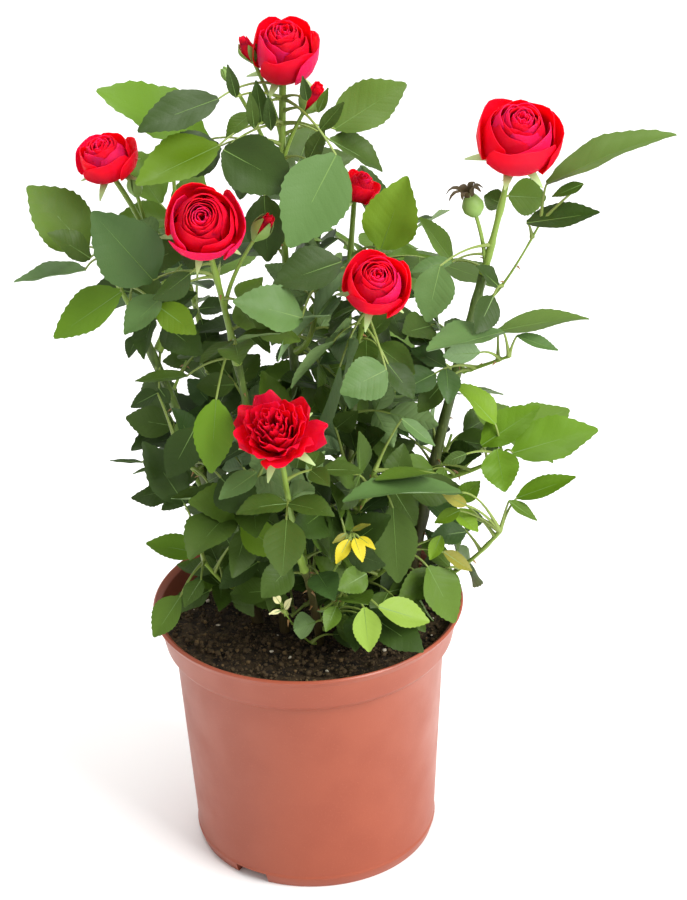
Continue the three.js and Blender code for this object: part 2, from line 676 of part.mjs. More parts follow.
// The soil fills the pot up to its level and is a little lower along the wall.
function buildSoil() {
  const { bandFootRadius, shoulderRadius, footRadius, wall, padRadius, channelHeight, bevel } = POT;
  const bandFoot = POT.height - POT.bandHeight;
  const floor = channelHeight + wall + GAP;
  const inset = wall + GAP;
  const profile = [
    [0, inset], [padRadius - bevel - GAP, inset], [padRadius + bevel - GAP, floor],
    [footRadius - inset - GAP, floor], [shoulderRadius - inset, bandFoot - 2 * bevel],
    [bandFootRadius - inset - GAP, bandFoot + 2 * bevel],
    [bandFootRadius - GAP, SOIL.level - SOIL.edgeDrop], [bandFootRadius - SOIL.edgeWidth, SOIL.level],
    [0, SOIL.level],
  ];
  return solidOf(turned(profile, POT.segments));
}

function caneCurve({ foot, tip, upright }) {
  const start = new THREE.Vector3(foot[0], foot[1], SOIL.level - CANE_SPARE);
  const end = vector(tip);
  const above = start.clone().setZ((start.z + end.z) / 2);
  const control = start.clone().lerp(end, 0.5).lerp(above, upright);
  return new THREE.QuadraticBezierCurve3(start, control, end);
}

// A cane, cut flat where it stands on the soil.
function buildCane(cane) {
  const whole = limb(caneCurve(cane), cane.root, cane.end, CANE_SIDES, CANE_STEPS);
  const { rimRadius, height } = POT;
  const cut = new THREE.BoxGeometry(2 * rimRadius, 2 * rimRadius, height);
  cut.translate(0, 0, SOIL.level + GAP - height / 2);
  return whole.subtract(solidOf(cut));
}

// The stem of a shoot, from just clear of its cane: off the cane's tip, or out of its side.
function stemCurve(shoot) {
  const cane = CANES[shoot.cane];
  const curve = caneCurve(cane);
  const tangent = curve.getTangent(shoot.at);
  const onCane = curve.getPoint(shoot.at);
  const end = vector(shoot.tip);
  if (shoot.at === 1) return sweepTo(onCane.addScaledVector(tangent, GAP), tangent, end);
  const side = end.clone().sub(onCane);
  side.addScaledVector(tangent, -side.dot(tangent)).normalize();
  const direction = side.clone().addScaledVector(tangent, SIDE_LEAN).normalize();
  const caneRadius = lerp(cane.root, cane.end, shoot.at);
  const start = onCane.addScaledVector(side, caneRadius + GAP + SHOOT.root * SIDE_LEAN);
  return sweepTo(start, direction, end);
}

// The stem of a shoot with its bloom and its buds, before any leaf.
function growStem(space, shoot) {
  shoot.stem = stemCurve(shoot);
  shoot.stemOwner = `${shoot.name} stem`;
  const stem = limb(shoot.stem, SHOOT.root, SHOOT.end, SHOOT.sides, SHOOT.steps);
  space.add(stem, shoot.stemOwner);
  const solids = [stem];
  const facing = shoot.facing ? vector(shoot.facing).normalize() : shoot.stem.getTangent(1);
  if (shoot.bloom) solids.push(bloomSolid(vector(shoot.tip), facing, shoot.bloom));
  for (const [at, x, y, z, radius] of shoot.buds || []) {
    const end = new THREE.Vector3(x, y, z);
    const start = shoot.stem.getPoint(at);
    const direction = end.clone().sub(start).normalize().add(shoot.stem.getTangent(at)).normalize();
    const stalk = sweepTo(start, direction, end);
    solids.push(limb(stalk, STALK.root, STALK.end, STALK.sides, STALK.steps));
    solids.push(budSolid(end, stalk.getTangent(1), radius));
  }
  solids.slice(1).forEach((solid) => space.add(solid, shoot.name));
  return solids;
}

const plant = new THREE.Group();
const space = new Space();

function place(name, solid, finish) {
  space.add(solid, name);
  plant.add(meshOf(name, solid, finish));
}

const PLASTIC = { color: 0xb96a52, roughness: 0.42, metalness: 0 };
const PEAT = { color: 0x241a14, roughness: 0.95, metalness: 0 };
const BARK = { color: 0x4b5a2a, roughness: 0.7, metalness: 0 };
const FOLIAGE = { color: 0x4f7a3c, roughness: 0.5, metalness: 0 };

place('pot', buildPot(), PLASTIC);
place('soil', buildSoil(), PEAT);
for (const [name, cane] of Object.entries(CANES)) {
  place(name, buildCane(cane), BARK);
}

const grown = SHOOTS.map((shoot) => growStem(space, shoot));
SHOOTS.forEach((shoot, index) => {
  leavesOf(shoot, SEED + 1000 * index).forEach((leaf, i) => {
    grown[index].push(...growLeaf(space, shoot, leaf, SEED + 1000 * index + 10 * i));
  });
});
SHOOTS.forEach((shoot, index) => plant.add(meshOf(shoot.name, join(grown[index]), FOLIAGE)));

export default plant;
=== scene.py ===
"""A miniature rose bush in its nursery pot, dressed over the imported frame.

The plant's own sizes are in millimetres. Its canes, shoots and leaves come from the rows and the
seeded rule that its solids were grown by, and are carried on here to what a solid leaves out:
toothed leaf edges, midribs, petals, sepals, prickles and the crumbs of the compost.
"""

import logging
import math
from collections.abc import Callable, Sequence
from dataclasses import dataclass, field, replace
from enum import Enum
from functools import cached_property

import bpy
import numpy as np
from mathutils import Matrix, Vector, noise
from mathutils.bvhtree import BVHTree


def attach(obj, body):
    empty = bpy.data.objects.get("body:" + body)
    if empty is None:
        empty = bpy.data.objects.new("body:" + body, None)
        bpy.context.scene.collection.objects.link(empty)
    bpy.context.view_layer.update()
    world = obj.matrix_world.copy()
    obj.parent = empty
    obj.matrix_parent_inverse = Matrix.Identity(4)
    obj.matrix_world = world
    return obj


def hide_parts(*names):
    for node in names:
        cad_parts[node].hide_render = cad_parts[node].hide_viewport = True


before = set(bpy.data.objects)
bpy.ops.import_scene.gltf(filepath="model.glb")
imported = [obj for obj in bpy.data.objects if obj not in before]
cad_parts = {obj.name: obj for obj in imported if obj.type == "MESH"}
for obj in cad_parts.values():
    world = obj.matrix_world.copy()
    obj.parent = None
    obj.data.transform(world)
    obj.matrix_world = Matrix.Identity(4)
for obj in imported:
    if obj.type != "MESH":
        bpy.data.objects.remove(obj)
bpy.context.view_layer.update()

LOG = logging.getLogger("rose_bush")
MM = 0.001
UP = np.array([0.0, 0.0, 1.0])
Point = tuple[float, float, float]
Pixel = tuple[float, float]
Profile = tuple[tuple[float, float], ...]


# Colours and nodes

def linear(colour: str) -> tuple[float, float, float, float]:
    """Turn an sRGB hex colour to linear light.

    Args:
        colour: The colour as #rrggbb.

    Returns:
        Red, green and blue in linear light, and full opacity.
    """
    channels = [int(colour[i:i + 2], 16) / 255 for i in (1, 3, 5)]
    red, green, blue = (c / 12.92 if c <= 0.04045 else ((c + 0.055) / 1.055) ** 2.4 for c in channels)
    return red, green, blue, 1.0


def add_node(
    tree: bpy.types.NodeTree,
    kind: str,
    settings: dict[str | int, object] | None = None,
    links: dict[str | int, bpy.types.NodeSocket] | None = None,
) -> bpy.types.Node:
    """Add a node with its settings and links.

    Args:
        tree: The tree that gets the node.
        kind: Blender's name for the kind of node.
        settings: Values for its inputs, or for its own properties where no input has the name.
        links: The sockets that its inputs read.

    Returns:
        The new node.
    """
    node = tree.nodes.new(kind)
    for name, value in (settings or {}).items():
        if isinstance(name, int) or name in node.inputs:
            node.inputs[name].default_value = value
        else:
            setattr(node, name, value)
    for name, source in (links or {}).items():
        tree.links.new(source, node.inputs[name])
    return node


# Finishes

@dataclass(frozen=True)
class Finish:
    """A real surface: its colour, gloss and grain.

    Attributes:
        name: What the surface is.
        colour: Its plain colour.
        roughness: Its roughness, which the grain varies a little.
        ior: Its index of refraction.
        sheen: The strength of a soft bloom of light at its edges.
        grain_mm: The size of its grain.
        relief_mm: How deep the grain is.
        specular: The strength of its mirror light, from 0 to 1, with 0.5 as its index gives.
        glow_mm: How far light travels inside it, or 0 where it doesn't.
    """

    name: str
    colour: str
    roughness: float
    ior: float = 1.45
    sheen: float = 0.0
    grain_mm: float = 0.5
    relief_mm: float = 0.05
    specular: float = 0.5
    glow_mm: float = 0.0

    def shader(self) -> tuple[bpy.types.Material, bpy.types.NodeTree, bpy.types.Node]:
        """Make the material with its shader.

        Returns:
            The material, its node tree and its shader node.
        """
        material = bpy.data.materials.new(self.name)
        material.use_nodes = True
        material.diffuse_color = linear(self.colour)
        tree = material.node_tree
        tree.nodes.clear()
        shader = add_node(tree, "ShaderNodeBsdfPrincipled", {
            "Base Color": linear(self.colour), "Roughness": self.roughness, "IOR": self.ior,
            "Sheen Weight": self.sheen, "Sheen Roughness": 0.4, "Specular IOR Level": self.specular,
        })
        if self.glow_mm:
            shader.inputs["Subsurface Weight"].default_value = 0.7
            shader.inputs["Subsurface Radius"].default_value = (1.0, 0.12, 0.12)
            shader.inputs["Subsurface Scale"].default_value = self.glow_mm * MM
        add_node(tree, "ShaderNodeOutputMaterial", links={"Surface": shader.outputs["BSDF"]})
        return material, tree, shader

    def grain(self, tree: bpy.types.NodeTree, size_mm: float, detail: float = 3.0) -> bpy.types.Node:
        """Add an even noise whose spots have a real size.

        Args:
            tree: The material's tree.
            size_mm: The size of a spot.
            detail: How many finer layers it has.

        Returns:
            The noise node.
        """
        place = add_node(tree, "ShaderNodeTexCoord")
        return add_node(
            tree, "ShaderNodeTexNoise", {"Scale": 1 / (size_mm * MM), "Detail": detail},
            {"Vector": place.outputs["Object"]},
        )

    def vary_gloss(self, tree: bpy.types.NodeTree, shader: bpy.types.Node, by: float, size_mm: float) -> None:
        """Let the roughness wander, as handling and growth leave it.

        Args:
            tree: The material's tree.
            shader: Its shader.
            by: How far the roughness strays to each side.
            size_mm: The size of the patches.
        """
        patches = self.grain(tree, size_mm)
        spread = add_node(tree, "ShaderNodeMapRange", {
            "From Min": 0.3, "From Max": 0.7,
            "To Min": self.roughness - by, "To Max": self.roughness + by,
        }, {"Value": patches.outputs["Fac"]})
        tree.links.new(spread.outputs["Result"], shader.inputs["Roughness"])

    def emboss(
        self, tree: bpy.types.NodeTree, shader: bpy.types.Node, height: bpy.types.NodeSocket,
        depth_mm: float, under: bpy.types.Node | None = None,
    ) -> bpy.types.Node:
        """Raise the surface by a height.

        Args:
            tree: The material's tree.
            shader: Its shader.
            height: What the height is read from.
            depth_mm: How far a height of 1 stands up.
            under: A bump that this one lies on.

        Returns:
            The bump node.
        """
        links = {"Height": height}
        if under is not None:
            links["Normal"] = under.outputs["Normal"]
        bump = add_node(tree, "ShaderNodeBump", {"Strength": 1.0, "Distance": depth_mm * MM}, links)
        tree.links.new(bump.outputs["Normal"], shader.inputs["Normal"])
        return bump

    def material(self) -> bpy.types.Material:
        """Make the finished material.

        Returns:
            The material.
        """
        material, tree, shader = self.shader()
        self.vary_gloss(tree, shader, 0.06, 6 * self.grain_mm)
        self.emboss(tree, shader, self.grain(tree, self.grain_mm).outputs["Fac"], self.relief_mm)
        return material


@dataclass(frozen=True)
class LeafSkin(Finish):
    """The waxy skin of a rose leaf: side veins sunk into it, and fine pebbling between them.

    Its light comes back as a broad satin gleam, broken by the veins.
    """

    vein_mm: float = 0.03

    def material(self) -> bpy.types.Material:
        """Make the leaf's material, with the veins in the leaf's own map.

        Returns:
            The material.
        """
        material, tree, shader = self.shader()
        own_map = add_node(tree, "ShaderNodeUVMap", {"uv_map": "leaf"})
        parts = add_node(tree, "ShaderNodeSeparateXYZ", links={"Vector": own_map.outputs["UV"]})
        # One step of the map's V is one side vein; the fold of the wave is the vein's bottom.
        half_way = {"operation": "PINGPONG", 1: 0.5}
        from_vein = add_node(tree, "ShaderNodeMath", half_way, {0: parts.outputs["Y"]})
        height = add_node(tree, "ShaderNodeMapRange", {
            "interpolation_type": "SMOOTHSTEP", "From Min": 0.0, "From Max": 0.3,
        }, {"Value": from_vein.outputs[0]})
        veins = self.emboss(tree, shader, height.outputs["Result"], self.vein_mm)
        pebbles = self.grain(tree, self.grain_mm)
        self.emboss(tree, shader, pebbles.outputs["Fac"], self.relief_mm, under=veins)
        self.vary_gloss(tree, shader, 0.07, 5.0)
        return material


@dataclass(frozen=True)
class Stained(Finish):
    """A surface whose colour wanders between two others in patches and specks.

    Attributes:
        darker: The colour of its darker patches.
        paler: The colour of its paler specks.
        patch_mm: The size of the patches.
        speck_mm: The size of the specks.
        stretch: How much longer than wide the patches are, upwards.
        foot: The colour of its foot, if that is another.
        foot_mm: The heights between which the foot's colour gives way.
    """

    darker: str = "#000000"
    paler: str = "#ffffff"
    patch_mm: float = 8.0
    speck_mm: float = 1.0
    stretch: float = 1.0
    foot: str = ""
    foot_mm: tuple[float, float] = (0.0, 1.0)

    def material(self) -> bpy.types.Material:
        """Make the material, with its stains and its grain.

        Returns:
            The material.
        """
        material, tree, shader = self.shader()
        place = add_node(tree, "ShaderNodeTexCoord")
        drawn = add_node(tree, "ShaderNodeMapping", {"Scale": (1.0, 1.0, 1 / self.stretch)},
                         {"Vector": place.outputs["Object"]})
        patches = add_node(tree, "ShaderNodeTexNoise", {"Scale": 1 / (self.patch_mm * MM), "Detail": 4.0},
                           {"Vector": drawn.outputs["Vector"]})
        specks = add_node(tree, "ShaderNodeTexNoise", {"Scale": 1 / (self.speck_mm * MM), "Detail": 2.0},
                          {"Vector": drawn.outputs["Vector"]})
        dark_share = add_node(tree, "ShaderNodeMapRange", {"From Min": 0.42, "From Max": 0.62},
                              {"Value": patches.outputs["Fac"]})
        pale_share = add_node(tree, "ShaderNodeMapRange", {"From Min": 0.6, "From Max": 0.72},
                              {"Value": specks.outputs["Fac"]})
        stained = add_node(tree, "ShaderNodeMix", {
            "data_type": "RGBA", 6: linear(self.colour), 7: linear(self.darker),
        }, {0: dark_share.outputs["Result"]})
        flecked = add_node(tree, "ShaderNodeMix", {"data_type": "RGBA", 7: linear(self.paler)},
                           {0: pale_share.outputs["Result"], 6: stained.outputs[2]})
        colour = flecked
        if self.foot:
            parts = add_node(tree, "ShaderNodeSeparateXYZ", links={"Vector": place.outputs["Object"]})
            low, high = self.foot_mm
            rise = add_node(tree, "ShaderNodeMapRange", {"From Min": low * MM, "From Max": high * MM},
                            {"Value": parts.outputs["Z"]})
            colour = add_node(tree, "ShaderNodeMix", {"data_type": "RGBA", 6: linear(self.foot)},
                              {0: rise.outputs["Result"], 7: flecked.outputs[2]})
        tree.links.new(colour.outputs[2], shader.inputs["Base Color"])
        self.vary_gloss(tree, shader, 0.08, self.patch_mm)
        self.emboss(tree, shader, specks.outputs["Fac"], self.relief_mm)
        return material


# In the picture a millimetre is two to three pixels, so grain that is finer in life is drawn 0.4 mm or
# coarser.

# Injection-moulded polypropylene: an even terracotta with a satin gleam, scuffed a little by handling.
POT_PLASTIC = Stained(
    "moulded polypropylene, terracotta", "#98482e", 0.4, ior=1.49, relief_mm=0.02,
    darker="#93442b", paler="#9c4c32", patch_mm=22.0, speck_mm=0.7,
)
# Peat compost: dull, near-black and open, so that it swallows light between its crumbs.
PEAT = Stained(
    "peat compost", "#42331e", 0.95, relief_mm=0.9, darker="#20180d", paler="#665135",
    patch_mm=4.0, speck_mm=1.6,
)
# Peat crumbs: dry on the outside, so paler than the mass under them, and matt.
CRUMB = Finish("peat crumbs", "#4d3e28", 0.95, grain_mm=0.8, relief_mm=0.3)
# Chips of bark: brown and dry, they stand out of the peat where light falls on them.
DRY_CRUMB = Finish("dry bark crumbs", "#6b5636", 0.9, grain_mm=0.8, relief_mm=0.3)
# Perlite: puffed volcanic glass, cream-white and matt.
PERLITE = Finish("perlite", "#cfc6b0", 0.8, grain_mm=0.4, relief_mm=0.1)
# Young rose bark: a smooth skin, brown at the soil and green further up, streaked along the cane.
CANE_BARK = Stained(
    "green rose bark", "#5c7331", 0.5, relief_mm=0.12, darker="#445424", paler="#7d8f47",
    patch_mm=3.0, speck_mm=0.7, stretch=5.0, foot="#453c20", foot_mm=(110, 200),
)
# Young shoots and leaf stalks: smooth yellow-green skin with a soft gleam along it.
SHOOT_SKIN = Finish("shoot skin", "#7f9a3e", 0.45, grain_mm=0.6, relief_mm=0.04)
PETIOLE_SKIN = Finish("leaf stalk skin", "#7d8f42", 0.48, grain_mm=0.5, relief_mm=0.03)
# Midribs: firm tissue, paler than the blades that they carry.
MIDRIB = Finish("midrib", "#64833c", 0.45, grain_mm=0.5, relief_mm=0.03)
# Prickles: dry, woody horn, tan and half glossy.
PRICKLE = Finish("prickle", "#8d6a3e", 0.4, grain_mm=0.5, relief_mm=0.02)
# Sepals: thin green leaf tissue, pale and downy on the inner face, brown and papery once it withers.
SEPAL = Finish("sepal", "#7fa04f", 0.5, grain_mm=0.5, relief_mm=0.04)
SEPAL_INSIDE = Finish("sepal, inner face", "#a3bd7c", 0.6, grain_mm=0.5, relief_mm=0.04)
SPENT_SEPAL = Finish("shrivelled sepal", "#4a3d20", 0.75, grain_mm=0.5, relief_mm=0.08)
# Matt paper: a pale ground that shows only soft shadows.
STUDIO_PAPER = Finish("white studio paper", "#f4f3f2", 0.9, grain_mm=2, relief_mm=0.02)


class Tone(Enum):
    """The greens that leaves are dealt: the upper face's, then the under face's."""

    DARK = ("#304515", "#6c8650")
    DEEP = ("#3e541a", "#6f8a54")
    MID = ("#506b1e", "#7c985c")
    OLIVE = ("#54700f", "#85965e")
    BLUISH = ("#53703a", "#86a074")
    PINE = ("#3b5527", "#6f8a5c")
    FRESH = ("#567812", "#8fab58")
    YELLOW_GREEN = ("#6a8a1f", "#9db560")
    LIME = ("#7f9a3a", "#a0b868")
    YELLOW = ("#c4b428", "#cfc45a")
    WITHERED = ("#83802f", "#958c50")
    PALE = ("#cdc994", "#c4c08e")


class Red(Enum):
    """The reds that petals are dealt: three for most blooms, and deeper ones for the old-fashioned bloom."""

    HEART = "#e0082e"
    DEEP = "#dc0424"
    BRIGHT = "#ee0628"
    # Paler pink red: dealt at random among outer petals, and mostly to a bloom's heart, where it is a painted
    # highlight.
    ROSE = "#f2144e"
    CRIMSON = "#d80426"


# Small maths

def unit(vector: np.ndarray) -> np.ndarray:
    """Give a vector the length 1."""
    return vector / np.linalg.norm(vector)


def lerp(low: float | np.ndarray, high: float | np.ndarray, share: float) -> float | np.ndarray:
    """Go from one value to another by a share."""
    return low + (high - low) * share


def turned(vector: np.ndarray, axis: np.ndarray, angle: float) -> np.ndarray:
    """Turn a vector about an axis.

    Args:
        vector: What is turned.
        axis: A unit vector.
        angle: In radians, right-handed.

    Returns:
        The turned vector.
    """
    cos, sin = math.cos(angle), math.sin(angle)
    return vector * cos + np.cross(axis, vector) * sin + axis * (axis @ vector) * (1 - cos)


def frame_of(facing: np.ndarray) -> np.ndarray:
    """Find the shortest turn that takes straight up to a direction.

    Args:
        facing: A unit vector.

    Returns:
        A matrix whose columns are the turned x, y and z axes.
    """
    axis = np.cross(UP, facing)
    size = np.linalg.norm(axis)
    if size < 1e-9:
        return np.eye(3)
    angle = math.atan2(size, UP @ facing)
    return np.array([turned(one, axis / size, angle) for one in np.eye(3)]).T


@dataclass(frozen=True)
class View:
    """Where the photograph was taken from, as the pot's ellipses tell.

    Pixels count from the upper left corner of the photograph.
    """

    position: Point = (0, -894.4, 640.3)
    yaw: float = 0.99
    pitch: float = 27.89
    roll: float = -1.81
    focal_px: float = 2699.3
    frame_px: Pixel = (687, 900)

    @cached_property
    def axes(self) -> np.ndarray:
        """Work out the camera's axes.

        Returns:
            A matrix whose columns point to its right, up and backwards.
        """
        yaw, pitch, roll = (math.radians(angle) for angle in (self.yaw, self.pitch, self.roll))
        level = math.cos(pitch)
        forward = np.array([math.sin(yaw) * level, math.cos(yaw) * level, -math.sin(pitch)])
        right = np.array([math.cos(yaw), -math.sin(yaw), 0.0])
        up = np.cross(right, forward)
        rolled_right = right * math.cos(roll) + up * math.sin(roll)
        rolled_up = up * math.cos(roll) - right * math.sin(roll)
        return np.array([rolled_right, rolled_up, -forward]).T

    def place(self, pixel: Pixel, depth: float) -> Point:
        """Give the point that shows at a pixel.

        Args:
            pixel: The pixel.
            depth: How far the point lies behind the pot's middle.

        Returns:
            The point.
        """
        width, height = self.frame_px
        ray = self.axes @ np.array([pixel[0] - width / 2, height / 2 - pixel[1], -self.focal_px])
        eye = np.array(self.position, dtype=float)
        return tuple(eye + ray * ((depth - eye[1]) / ray[1]))

    def pixel(self, place: np.ndarray) -> Pixel:
        """Give the pixel at which a point shows.

        Args:
            place: The point.

        Returns:
            How far across and how far down the pixel is.
        """
        across, up, back = (place - np.array(self.position, dtype=float)) @ self.axes
        width, height = self.frame_px
        return width / 2 - self.focal_px * across / back, height / 2 + self.focal_px * up / back


VIEW = View()


class Dice:
    """Random numbers that come out the same for the same seed."""

    def __init__(self, seed: int) -> None:
        """Start from a seed.

        Args:
            seed: Any whole number.
        """
        self.state = (seed * 2654435761 + 12345) % 2 ** 32
        for _ in range(3):
            self.roll()

    def roll(self) -> float:
        """Give the next number, from 0 to 1."""
        self.state = (self.state * 1664525 + 1013904223) % 2 ** 32
        return self.state / 2 ** 32

    def between(self, low: float, high: float) -> float:
        """Give the next number between two others."""
        return low + (high - low) * self.roll()

    def pick(self, choices: Sequence[object]) -> object:
        """Pick one of several."""
        return choices[min(int(self.roll() * len(choices)), len(choices) - 1)]


class Curve:
    """A smooth curve from a start to an end, drawn towards a control point."""

    def __init__(self, start: np.ndarray, control: np.ndarray, end: np.ndarray) -> None:
        """Keep the three points.

        Args:
            start: Where it starts.
            control: What it is drawn towards.
            end: Where it ends.
        """
        self.start, self.control, self.end = start, control, end

    def point(self, at: float) -> np.ndarray:
        """Give the point at a share of the way."""
        return (1 - at) ** 2 * self.start + 2 * (1 - at) * at * self.control + at ** 2 * self.end

    def tangent(self, at: float) -> np.ndarray:
        """Give the direction at a share of the way."""
        return unit(self.point(min(at + 1e-4, 1)) - self.point(max(at - 1e-4, 0)))

    def length(self) -> float:
        """Measure the curve."""
        points = np.array([self.point(i / 200) for i in range(201)])
        return float(np.linalg.norm(np.diff(points, axis=0), axis=1).sum())

    def beyond(self, at: float) -> "Curve":
        """Give the part of the curve beyond a place on it."""
        return Curve(self.point(at), lerp(self.control, self.end, at), self.end)


def sweep_to(start: np.ndarray, direction: np.ndarray, end: np.ndarray, pull: float = 0.4) -> Curve:
    """Draw a curve that leaves one point in a given direction and ends at another.

    Args:
        start: Where it starts.
        direction: The direction in which it leaves.
        end: Where it ends.
        pull: How long it keeps its direction, as a share of the distance.

    Returns:
        The curve.
    """
    return Curve(start, start + direction * (np.linalg.norm(end - start) * pull), end)


# Shapes

Shape = tuple[np.ndarray, list[tuple[int, ...]]]


def tube(centres: Sequence[np.ndarray], tangents: Sequence[np.ndarray], radii: np.ndarray) -> Shape:
    """Lay a closed tube round a line of points.

    Args:
        centres: The middles of its rings.
        tangents: The direction of the line at each.
        radii: A row for each ring, with the radius at each of its corners.

    Returns:
        Points and outward faces.
    """
    rings, sides = radii.shape
    angles = 2 * math.pi * np.arange(sides) / sides
    points, side = [], None
    for centre, tangent, radius in zip(centres, tangents, radii):
        if side is None:
            guide = UP if abs(tangent[2]) < 0.9 else np.array([1.0, 0.0, 0.0])
            side = np.cross(guide, tangent)
        side = unit(side - tangent * (side @ tangent))
        other = np.cross(side, tangent)
        points.append(centre + np.outer(np.sin(angles) * radius, side)
                      + np.outer(np.cos(angles) * radius, other))
    points.append(np.array([centres[0], centres[-1]]))
    foot, top = rings * sides, rings * sides + 1
    faces: list[tuple[int, ...]] = []
    for j in range(sides):
        k = (j + 1) % sides
        faces.append((foot, k, j))
        faces.append((top, top - 1 - sides + j - 1, top - 1 - sides + k - 1))
        for i in range(rings - 1):
            faces.append((i * sides + j, i * sides + k, (i + 1) * sides + k, (i + 1) * sides + j))
    return np.vstack(points), faces


def limb(curve: Curve, root_radius: float, end_radius: float, sides: int, steps: int) -> Shape:
    """Lay a plain tapering tube along a curve.

    Args:
        curve: The curve.
        root_radius: Its radius where the curve starts.
        end_radius: Its radius where the curve ends.
        sides: How many sides it has.
        steps: How many lengths it is made of.

    Returns:
        Points and faces.
    """
    return round_limb(curve, steps, sides, lambda share: lerp(root_radius, end_radius, share))


def round_limb(curve: Curve, steps: int, sides: int, radius_at: Callable[[float], float]) -> Shape:
    """Lay a tube along a curve, with a radius for each place.

    Args:
        curve: The curve.
        steps: How many lengths it is made of.
        sides: How many sides it has.
        radius_at: Gives its radius for a share of the way.

    Returns:
        Points and faces.
    """
    shares = [i / steps for i in range(steps + 1)]
    radii = np.array([[radius_at(share)] * sides for share in shares])
    return tube([curve.point(share) for share in shares], [curve.tangent(share) for share in shares], radii)


def lathe(rows: Sequence[tuple[float, float]], sides: int, frame_axes: np.ndarray, base: np.ndarray,
          lobes: Sequence[float] | None = None, petals: int = 0) -> Shape:
    """Turn a profile that starts and ends on its axis.

    Args:
        rows: Radius and height of each point, from the foot to the top.
        sides: How many sides it has.
        frame_axes: The turned axes, as columns.
        base: Where its foot stands.
        lobes: How far each row swells at the petals, as a share of its radius.
        petals: How many lobes there are.

    Returns:
        Points and outward faces.
    """
    angles = 2 * math.pi * np.arange(sides) / sides
    swell = lobes or [0.0] * len(rows)
    points = [[0.0, 0.0, rows[0][1]]]
    for (radius, height), lobe in list(zip(rows, swell))[1:-1]:
        for angle in angles:
            reach = radius * (1 + lobe * math.cos(petals * angle))
            points.append([reach * math.cos(angle), reach * math.sin(angle), height])
    points.append([0.0, 0.0, rows[-1][1]])
    top = len(points) - 1
    faces: list[tuple[int, ...]] = []
    for j in range(sides):
        k = (j + 1) % sides
        faces.append((0, 1 + k, 1 + j))
        faces.append((top, top - sides + j, top - sides + k))
        for i in range(len(rows) - 3):
            low, high = 1 + i * sides, 1 + (i + 1) * sides
            faces.append((low + j, low + k, high + k, high + j))
    return np.array(points) @ frame_axes.T + base, faces


def sheet(grid: np.ndarray, thickness: float) -> Shape:
    """Give a grid of points a thickness, closed all round its rim.

    Args:
        grid: Points by row and column; its faces look along rows cross columns.
        thickness: How far the back lies behind the front.

    Returns:
        Points and outward faces.
    """
    rows, columns = grid.shape[:2]
    along = np.gradient(grid, axis=0)
    across = np.gradient(grid, axis=1)
    normals = np.cross(along, across)
    normals /= np.maximum(np.linalg.norm(normals, axis=2, keepdims=True), 1e-9)
    front = grid.reshape(-1, 3)
    back = (grid - normals * thickness).reshape(-1, 3)
    count = rows * columns
    faces: list[tuple[int, ...]] = []
    for i in range(rows - 1):
        for k in range(columns - 1):
            a, b = i * columns + k, (i + 1) * columns + k
            faces.append((a, b, b + 1, a + 1))
            faces.append((count + a, count + a + 1, count + b + 1, count + b))
    edge = [*range(columns - 1), *[(i + 1) * columns - 1 for i in range(rows - 1)]]
    edge += [count - 1 - k for k in range(columns - 1)]
    edge += [(rows - 1 - i) * columns for i in range(rows - 1)]
    for a, b in zip(edge, edge[1:] + edge[:1]):
        faces.append((a, b, count + b, count + a))
    return np.vstack([front, back]), faces


class Heap:
    """Many small shapes of one kind, joined to one mesh."""

    def __init__(self) -> None:
        """Start empty."""
        self.points: list[np.ndarray] = []
        self.faces: list[tuple[int, ...]] = []
        self.slots: list[int] = []
        self.maps: list[np.ndarray] = []
        self.count = 0

    def add(self, shape: Shape, slot: int | Sequence[int] = 0, own_map: np.ndarray | None = None) -> None:
        """Add a shape.

        Args:
            shape: Its points, in millimetres, and its faces.
            slot: The material slot of all its faces, or of each.
            own_map: The map's value at each point.
        """
        points, faces = shape
        self.points.append(points)
        self.faces += [tuple(corner + self.count for corner in face) for face in faces]
        self.slots += [slot] * len(faces) if isinstance(slot, int) else list(slot)
        self.maps.append(own_map if own_map is not None else np.zeros((len(points), 2)))
        self.count += len(points)

    def piece(self, name: str, materials: Sequence[bpy.types.Material],
              sharp_degrees: float = 60) -> bpy.types.Object:
        """Make the object.

        Args:
            name: Its name.
            materials: Its material slots.
            sharp_degrees: Edges that turn by more than this stay sharp.

        Returns:
            The object, at the origin.
        """
        mesh = bpy.data.meshes.new(name)
        mesh.from_pydata((np.vstack(self.points) * MM).tolist(), [], self.faces)
        own_map = mesh.uv_layers.new(name="leaf")
        corners = np.empty(len(mesh.loops), dtype=np.int32)
        mesh.loops.foreach_get("vertex_index", corners)
        own_map.data.foreach_set("uv", np.vstack(self.maps)[corners].astype(np.float32).ravel())
        for material in materials:
            mesh.materials.append(material)
        mesh.polygons.foreach_set("material_index", self.slots)
        mesh.update()
        piece = bpy.data.objects.new(name, mesh)
        bpy.context.collection.objects.link(piece)
        smooth(piece, sharp_degrees)
        return piece


def smooth(piece: bpy.types.Object, sharp_degrees: float) -> None:
    """Shade a piece smooth, except at its sharp edges.

    Args:
        piece: The object.
        sharp_degrees: Edges that turn by more than this stay sharp.
    """
    only(piece)
    bpy.ops.object.shade_smooth_by_angle(angle=math.radians(sharp_degrees))


def only(piece: bpy.types.Object) -> None:
    """Select one object and nothing else.

    Args:
        piece: The object.
    """
    if bpy.context.object is not None and bpy.context.object.mode != "OBJECT":
        bpy.ops.object.mode_set(mode="OBJECT")
    bpy.ops.object.select_all(action="DESELECT")
    piece.select_set(True)
    bpy.context.view_layer.objects.active = piece


def settle(piece: bpy.types.Object, nodes: Sequence[str] = ()) -> bpy.types.Object:
    """Fix a finished piece to the frame.

    Args:
        piece: The object.
        nodes: The CAD nodes that it stands for.

    Returns:
        The same object.
    """
    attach(piece, "root")
    if nodes:
        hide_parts(*nodes)
    return piece


def leafy(piece: bpy.types.Object) -> bpy.types.Object:
    """Fix a finished piece of the growth, which stands for all the foliage masses."""
    return settle(piece, FOLIAGE_NODES)


# The plant's rows

